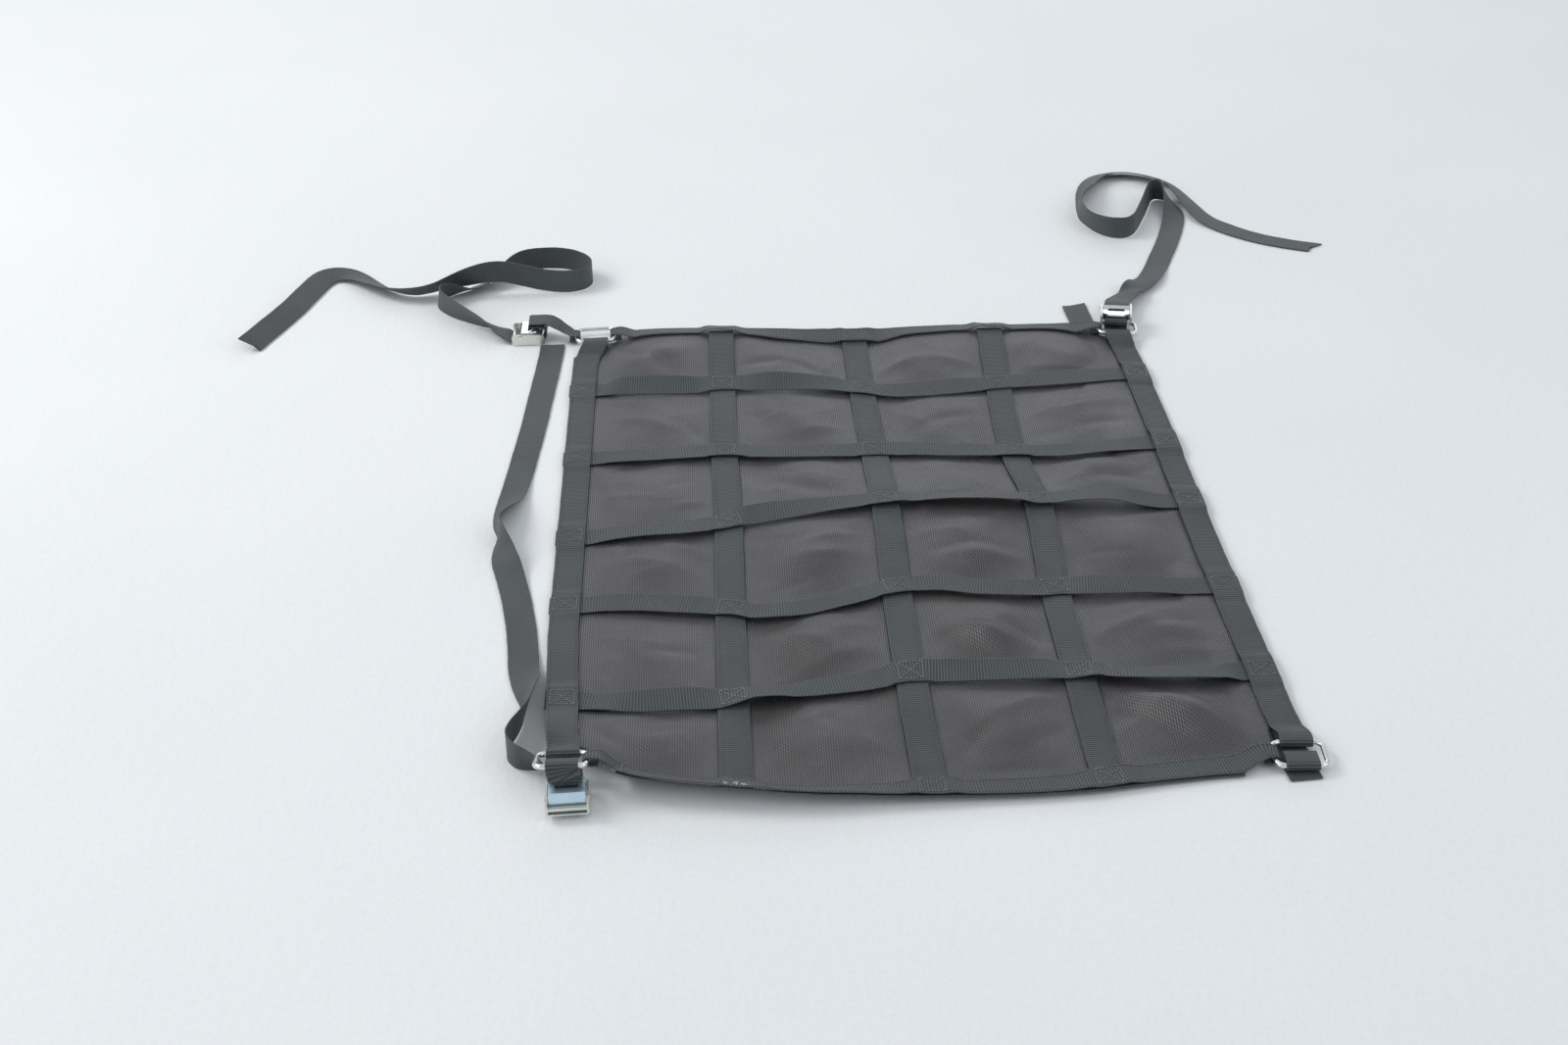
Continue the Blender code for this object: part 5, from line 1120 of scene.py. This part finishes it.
def build():
    parts = tools = web = coated = steel = bright = None
    sheet_panel(parts, coated)

    # long webbings on the sheet
    tops = [sheet_top]
    for name, table in LONG_WEBS.items():
        x_near, x_far = table[-1][1], table[0][1]
        y0 = along(NEAR_EDGE, x_near)[0, 0] + WEB_W * 0.62
        y1 = along(FAR_EDGE, x_far)[0, 0] - WEB_W * 0.64
        y = np.linspace(y0, y1, int((y1 - y0) / FINE))
        centre = np.column_stack([along(table, y)[:, 0], y])
        side = np.tile([-1.0, 0.0], (len(y), 1))
        p, s = laid(centre, side, [sheet_top], clear=GAP + 0.25, reach=2.0)
        tops.append(strip_top(p, s, 1))
        webbing(name, rows7(p, s)[::2], web, parts)

    # cross webbings over them
    ends = []
    for name, table in CROSS_WEBS.items():
        rows = [(COL0 + COL_PITCH * u, y, z, b) for u, y, z, b in table]
        x0 = along(LEFT_EDGE, rows[0][1])[0, 0] - 1.2
        x1 = along(RIGHT_EDGE, rows[-1][1])[0, 0] + 1.2
        rows = [(x0, rows[0][1], 2.0, 0)] + rows + [(x1, rows[-1][1], 2.0, 0)]
        x = np.linspace(x0, x1, int((x1 - x0) / FINE))
        table_at = along(rows, x)
        centre = np.column_stack([x, table_at[:, 0]])
        side = np.tile([0.0, 1.0], (len(x), 1))
        under_border = np.minimum(np.clip((x - x0 - 30) / 14, 0, 1), np.clip((x1 - x - 30) / 14, 0, 1))
        p, s = laid(centre, side, tops, bank=table_at[:, 2] * under_border)
        free = table_at[:, 1] + (0 - p[:, 2]) * 0
        p[:, 2] = np.where(free > p[:, 2], p[:, 2] + (free - p[:, 2]) * under_border, p[:, 2])
        ends.append(strip_top(p, s, 0))
        webbing(name, rows7(p, s)[::2], web, parts)

    # far and near borders over the long webbings
    borders = {}
    for name, table, sign, left_ring, right_ring in (
        ("border_top", FAR_EDGE, -1, "ring_tl", "ring_tr"),
        ("border_bottom", NEAR_EDGE, 1, "ring_bl", "ring_br"),
    ):
        left_bar, right_bar = bar_of(left_ring, "right"), bar_of(right_ring, "left")
        x0, x1 = left_bar[0][0] + 10, right_bar[0][0] - 10
        x = np.linspace(x0, x1, int((x1 - x0) / FINE))
        edge = along(table, x)
        width_on_plan = np.sqrt(WEB_W**2 - (edge[:, 2] - edge[:, 1]) ** 2)
        y = edge[:, 0] + sign * (width_on_plan / 2)
        # the ends turn towards the middle of the ring's bar
        pull_l = np.clip((x0 + 32 - x) / 32, 0, 1) ** 2
        pull_r = np.clip((x - x1 + 32) / 32, 0, 1) ** 2
        y = y * (1 - pull_l) + left_bar[0][1] * pull_l
        y = y * (1 - pull_r) + right_bar[0][1] * pull_r
        centre = np.column_stack([x, y])
        side = np.tile([0.0, 1.0], (len(x), 1))
        p, s = laid(centre, side, tops, clear=GAP + 0.3, reach=3.2, soft=2)
        borders[name] = strip_top(p, s, 0)
        webbing(name, between_bars(p, s, left_bar, right_bar, 1, width=15.5), web, parts)

    # side borders over the ends of the cross webbings
    for name, table, inset, far_ring, near_ring in (
        ("border_left", LEFT_EDGE, WEB_W / 2, "ring_tl", "ring_bl"),
        ("border_right", RIGHT_EDGE, -WEB_W / 2, "ring_tr", "ring_br"),
    ):
        far_bar, near_bar = bar_of(far_ring, "near"), bar_of(near_ring, "far")
        y0, y1 = near_bar[0][1] + 6, far_bar[0][1] - 6
        y = np.linspace(y0, y1, int((y1 - y0) / FINE))
        x = edge_run(table, y, inset)
        pull_n = np.clip((y0 + 50 - y) / 50, 0, 1) ** 2
        pull_f = np.clip((y - y1 + 50) / 50, 0, 1) ** 2
        x = x * (1 - pull_n) + near_bar[0][0] * pull_n
        x = x * (1 - pull_f) + far_bar[0][0] * pull_f
        centre = np.column_stack([x, y])
        side = np.tile([-1.0, 0.0], (len(y), 1))
        p, s = laid(centre, side, [sheet_top] + ends, clear=GAP + 0.3)
        p[:, 2] += 1.6 * pull_f
        tails = (4.0, 8.0) if name == "border_left" else (8.0, 8.0)
        webbing(name, between_bars(p, s, near_bar, far_bar, -1, tails), web, parts)

    for name in RINGS:
        rounded_ring(name, parts, bright)
    for name in BUCKLES:
        buckle_parts(name, parts, tools, steel, bright)

    # tabs: round the ring's bar, then round the buckle's bar
    up = np.array([0.0, 0.0, 1.0])
    tabs(parts, web, up)

    for name, rows in (("strap_tl", STRAP_TL), ("strap_tr", STRAP_TR), ("strap_bl", STRAP_BL), ("strap_br", STRAP_BR)):
        webbing(name, lay_strap(rows)[::2], web, parts, allowed=0.16, slant=CUT_SLANT[name])


def bar_in_buckle(name):
    x, y, z, heading = BUCKLES[name]
    a = math.radians(heading)
    along_u = np.array([math.cos(a), math.sin(a), 0.0])
    across = np.array([-math.sin(a), math.cos(a), 0.0])
    return np.array([x, y, z]) + along_u * BAR_U + up_z(BAR_Z), along_u, across


def up_z(h):
    return np.array([0.0, 0.0, h])


def slack_over(bar, u, across, reach, width, wrap, drop_in=False):
    """Stations of slack webbing that lies on the thumb plate, folds back on itself and
    goes down round the buckle's bar. reach is how far past the bar the slack lies."""
    def at(du, dz):
        return bar + u * du + up_z(dz)

    upper, lower = 17.2, 13.4  # middles of the two layers above the bar's middle
    turn_r, turn_z = (upper - lower) / 2, (upper + lower) / 2
    out = [] if drop_in else [(at(-4.0, upper), across, width), (at(2.0, upper), across, width), (at(reach - 3.0, upper), across, width)]
    for a in (60, 90, 120, 150, 180) if drop_in else (0, 30, 60, 90, 120, 150, 180):
        a = math.radians(a)
        out.append((at(reach + turn_r * math.sin(a), turn_z + turn_r * math.cos(a)), across, width))
    out += [(at(reach - 4.0, lower), across, width), (at(0.5, lower), across, width)]
    out += [(at(-3.0, lower - 1.5), across, width), (at(-4.8, lower - 5.4), across, width), (at(-4.2, 3.0), across, width)]
    for a in np.radians(np.arange(285, 80, -22.5)):
        out.append((bar + wrap * (up_z(math.cos(a)) + u * math.sin(a)), across, width))
    return out


def tabs(parts, web, up):
    wrap = BAR_R + 0.4 + WEB_T / 2

    def rows_of(stations):
        return np.array([np.concatenate([p, s, [w]]) for p, s, w in stations])

    # far left: from the ring over the thumb plate, back, and round the buckle's bar
    c, across, out, ring_up = bar_of("ring_tl", "left")
    bar, u, side = bar_in_buckle("buckle_tl")
    stations = [(c + out * 8.0 - ring_up * WRAP_R, across, 15.5)]
    stations += [(p, s, 15.5) for p, s in round_bar(c, across, -out, ring_up, WRAP_R, 180, 0, 22.5)]
    stations += [
        (c + out * 4.0 + ring_up * (WRAP_R + 0.3), across, 15.5),
        (np.array([-298.5, 379.5, 12.2]), np.array([0.03, 0.98, 0.12]), 17.5),
        (np.array([-306.0, 381.6, 17.0]), np.array([0.02, 0.98, 0.16]), 20.5),
        (np.array([-313.0, 383.2, 20.4]), np.array([0.0, 0.99, 0.10]), 22.5),
    ]
    stations += slack_over(bar, u, -side, 11.0, 23.5, wrap)
    webbing("tab_tl", rows_of(stations), web, parts)

    # far right: short, from the ring's far bar under the buckle and up round its bar
    c, across, out, ring_up = bar_of("ring_tr", "far")
    bar, u, side = bar_in_buckle("buckle_tr")
    c = c - across * 1.0
    stations = [(c - out * 7.0 - ring_up * WRAP_R, across, 23.5)]
    stations += [(p, across, 23.5) for p, _ in round_bar(c, across, out, ring_up, WRAP_R, 180, 0, 22.5)]
    drop = bar[2] - (c[2] + WRAP_R)
    stations += [
        (bar + u * 8.4 - up * (drop + 0.15), -side, 23.5),
        (bar + u * 5.2 - up * (drop - 1.6), -side, 23.5),
    ]
    stations += [(p, -side, 23.5) for p, _ in round_bar(bar, side, u, up, wrap, 95, -140, 22.5)]
    webbing("tab_tr", rows_of(stations), web, parts)

    # near left: hangs from the raised near bar of the ring, slack over the thumb plate
    c, across, out, ring_up = bar_of("ring_bl", "near")
    bar, u, side = bar_in_buckle("buckle_bl")
    c = c + across * 0.9
    stations = [(c - out * 8.0 + ring_up * WRAP_R, across, 24.0), (c - out * 4.0 + ring_up * WRAP_R, across, 24.0)]
    stations += [(p, across, 24.0) for p, _ in round_bar(c, across, out, ring_up, WRAP_R, 0, 90, 22.5)]
    stations += [
        (np.array([-265.1, -399.7, 29.8]), np.array([1.0, 0.02, 0.03]), 24.0),
        (np.array([-264.4, -400.6, 27.4]), np.array([1.0, 0.03, 0.03]), 24.0),
    ]
    stations += slack_over(bar, u, side, 12.4, 23.5, wrap, drop_in=True)
    webbing("tab_bl", rows_of(stations), web, parts)

    # near right: a loop folded over the ring's near bar
    c, across, out, ring_up = bar_of("ring_br", "near")
    stations = [
        (c - out * 15.5 + ring_up * 1.6, across, 25.0),
        (c - out * 9.0 + ring_up * (WRAP_R - 0.4), across, 25.0),
        (c - out * 3.0 + ring_up * WRAP_R, across, 25.0),
    ]
    stations += [(p, across, 25.0) for p, _ in round_bar(c, across, out, ring_up, WRAP_R, 0, 180)]
    stations.append((c - out * 8.0 - ring_up * (WRAP_R - 0.1), across, 25.0))
    webbing("tab_br", rows_of(stations), web, parts)


make_camera()
MATS["webbing"] = webbing_material()
MATS["loose"] = webbing_material("webbing_loose", base=(0.049, 0.057, 0.061), light=(0.084, 0.096, 0.102), rib_valley_shade=0.62, relief=0.45)
MATS["mesh"] = mesh_material()
MATS["ring"] = metal_material("plated_wire", (0.80, 0.81, 0.80), 0.24)
MATS["buckle"] = metal_material("zinc_plate", (0.74, 0.74, 0.69), 0.34, tint=(0.86, 0.86, 0.84))
MATS["lever"] = metal_material("bright_plate", (0.80, 0.82, 0.83), 0.22)
# painted reflection: the near-left lever is tinted sky blue for the sky it reflects
MATS["painted_sky_blue"] = metal_material("lever_painted_sky_reflection", (0.66, 0.83, 0.93), 0.42)
MATS["thread"] = thread_material("thread", 0.85)
MATS["seam"] = thread_material("seam_thread", 0.42)
MATS["fray"] = thread_material("frayed_thread", 2.2)
make_room()
build()
stitching()
sewn = [bpy.data.objects[name + "_weave"] for name in (*LONG_WEBS, *CROSS_WEBS, "border_top", "border_bottom", "border_left", "border_right")]
sewn += [bpy.data.objects["stitching_crosses"], bpy.data.objects["stitching_edges"], bpy.data.objects["frayed_ends"]]
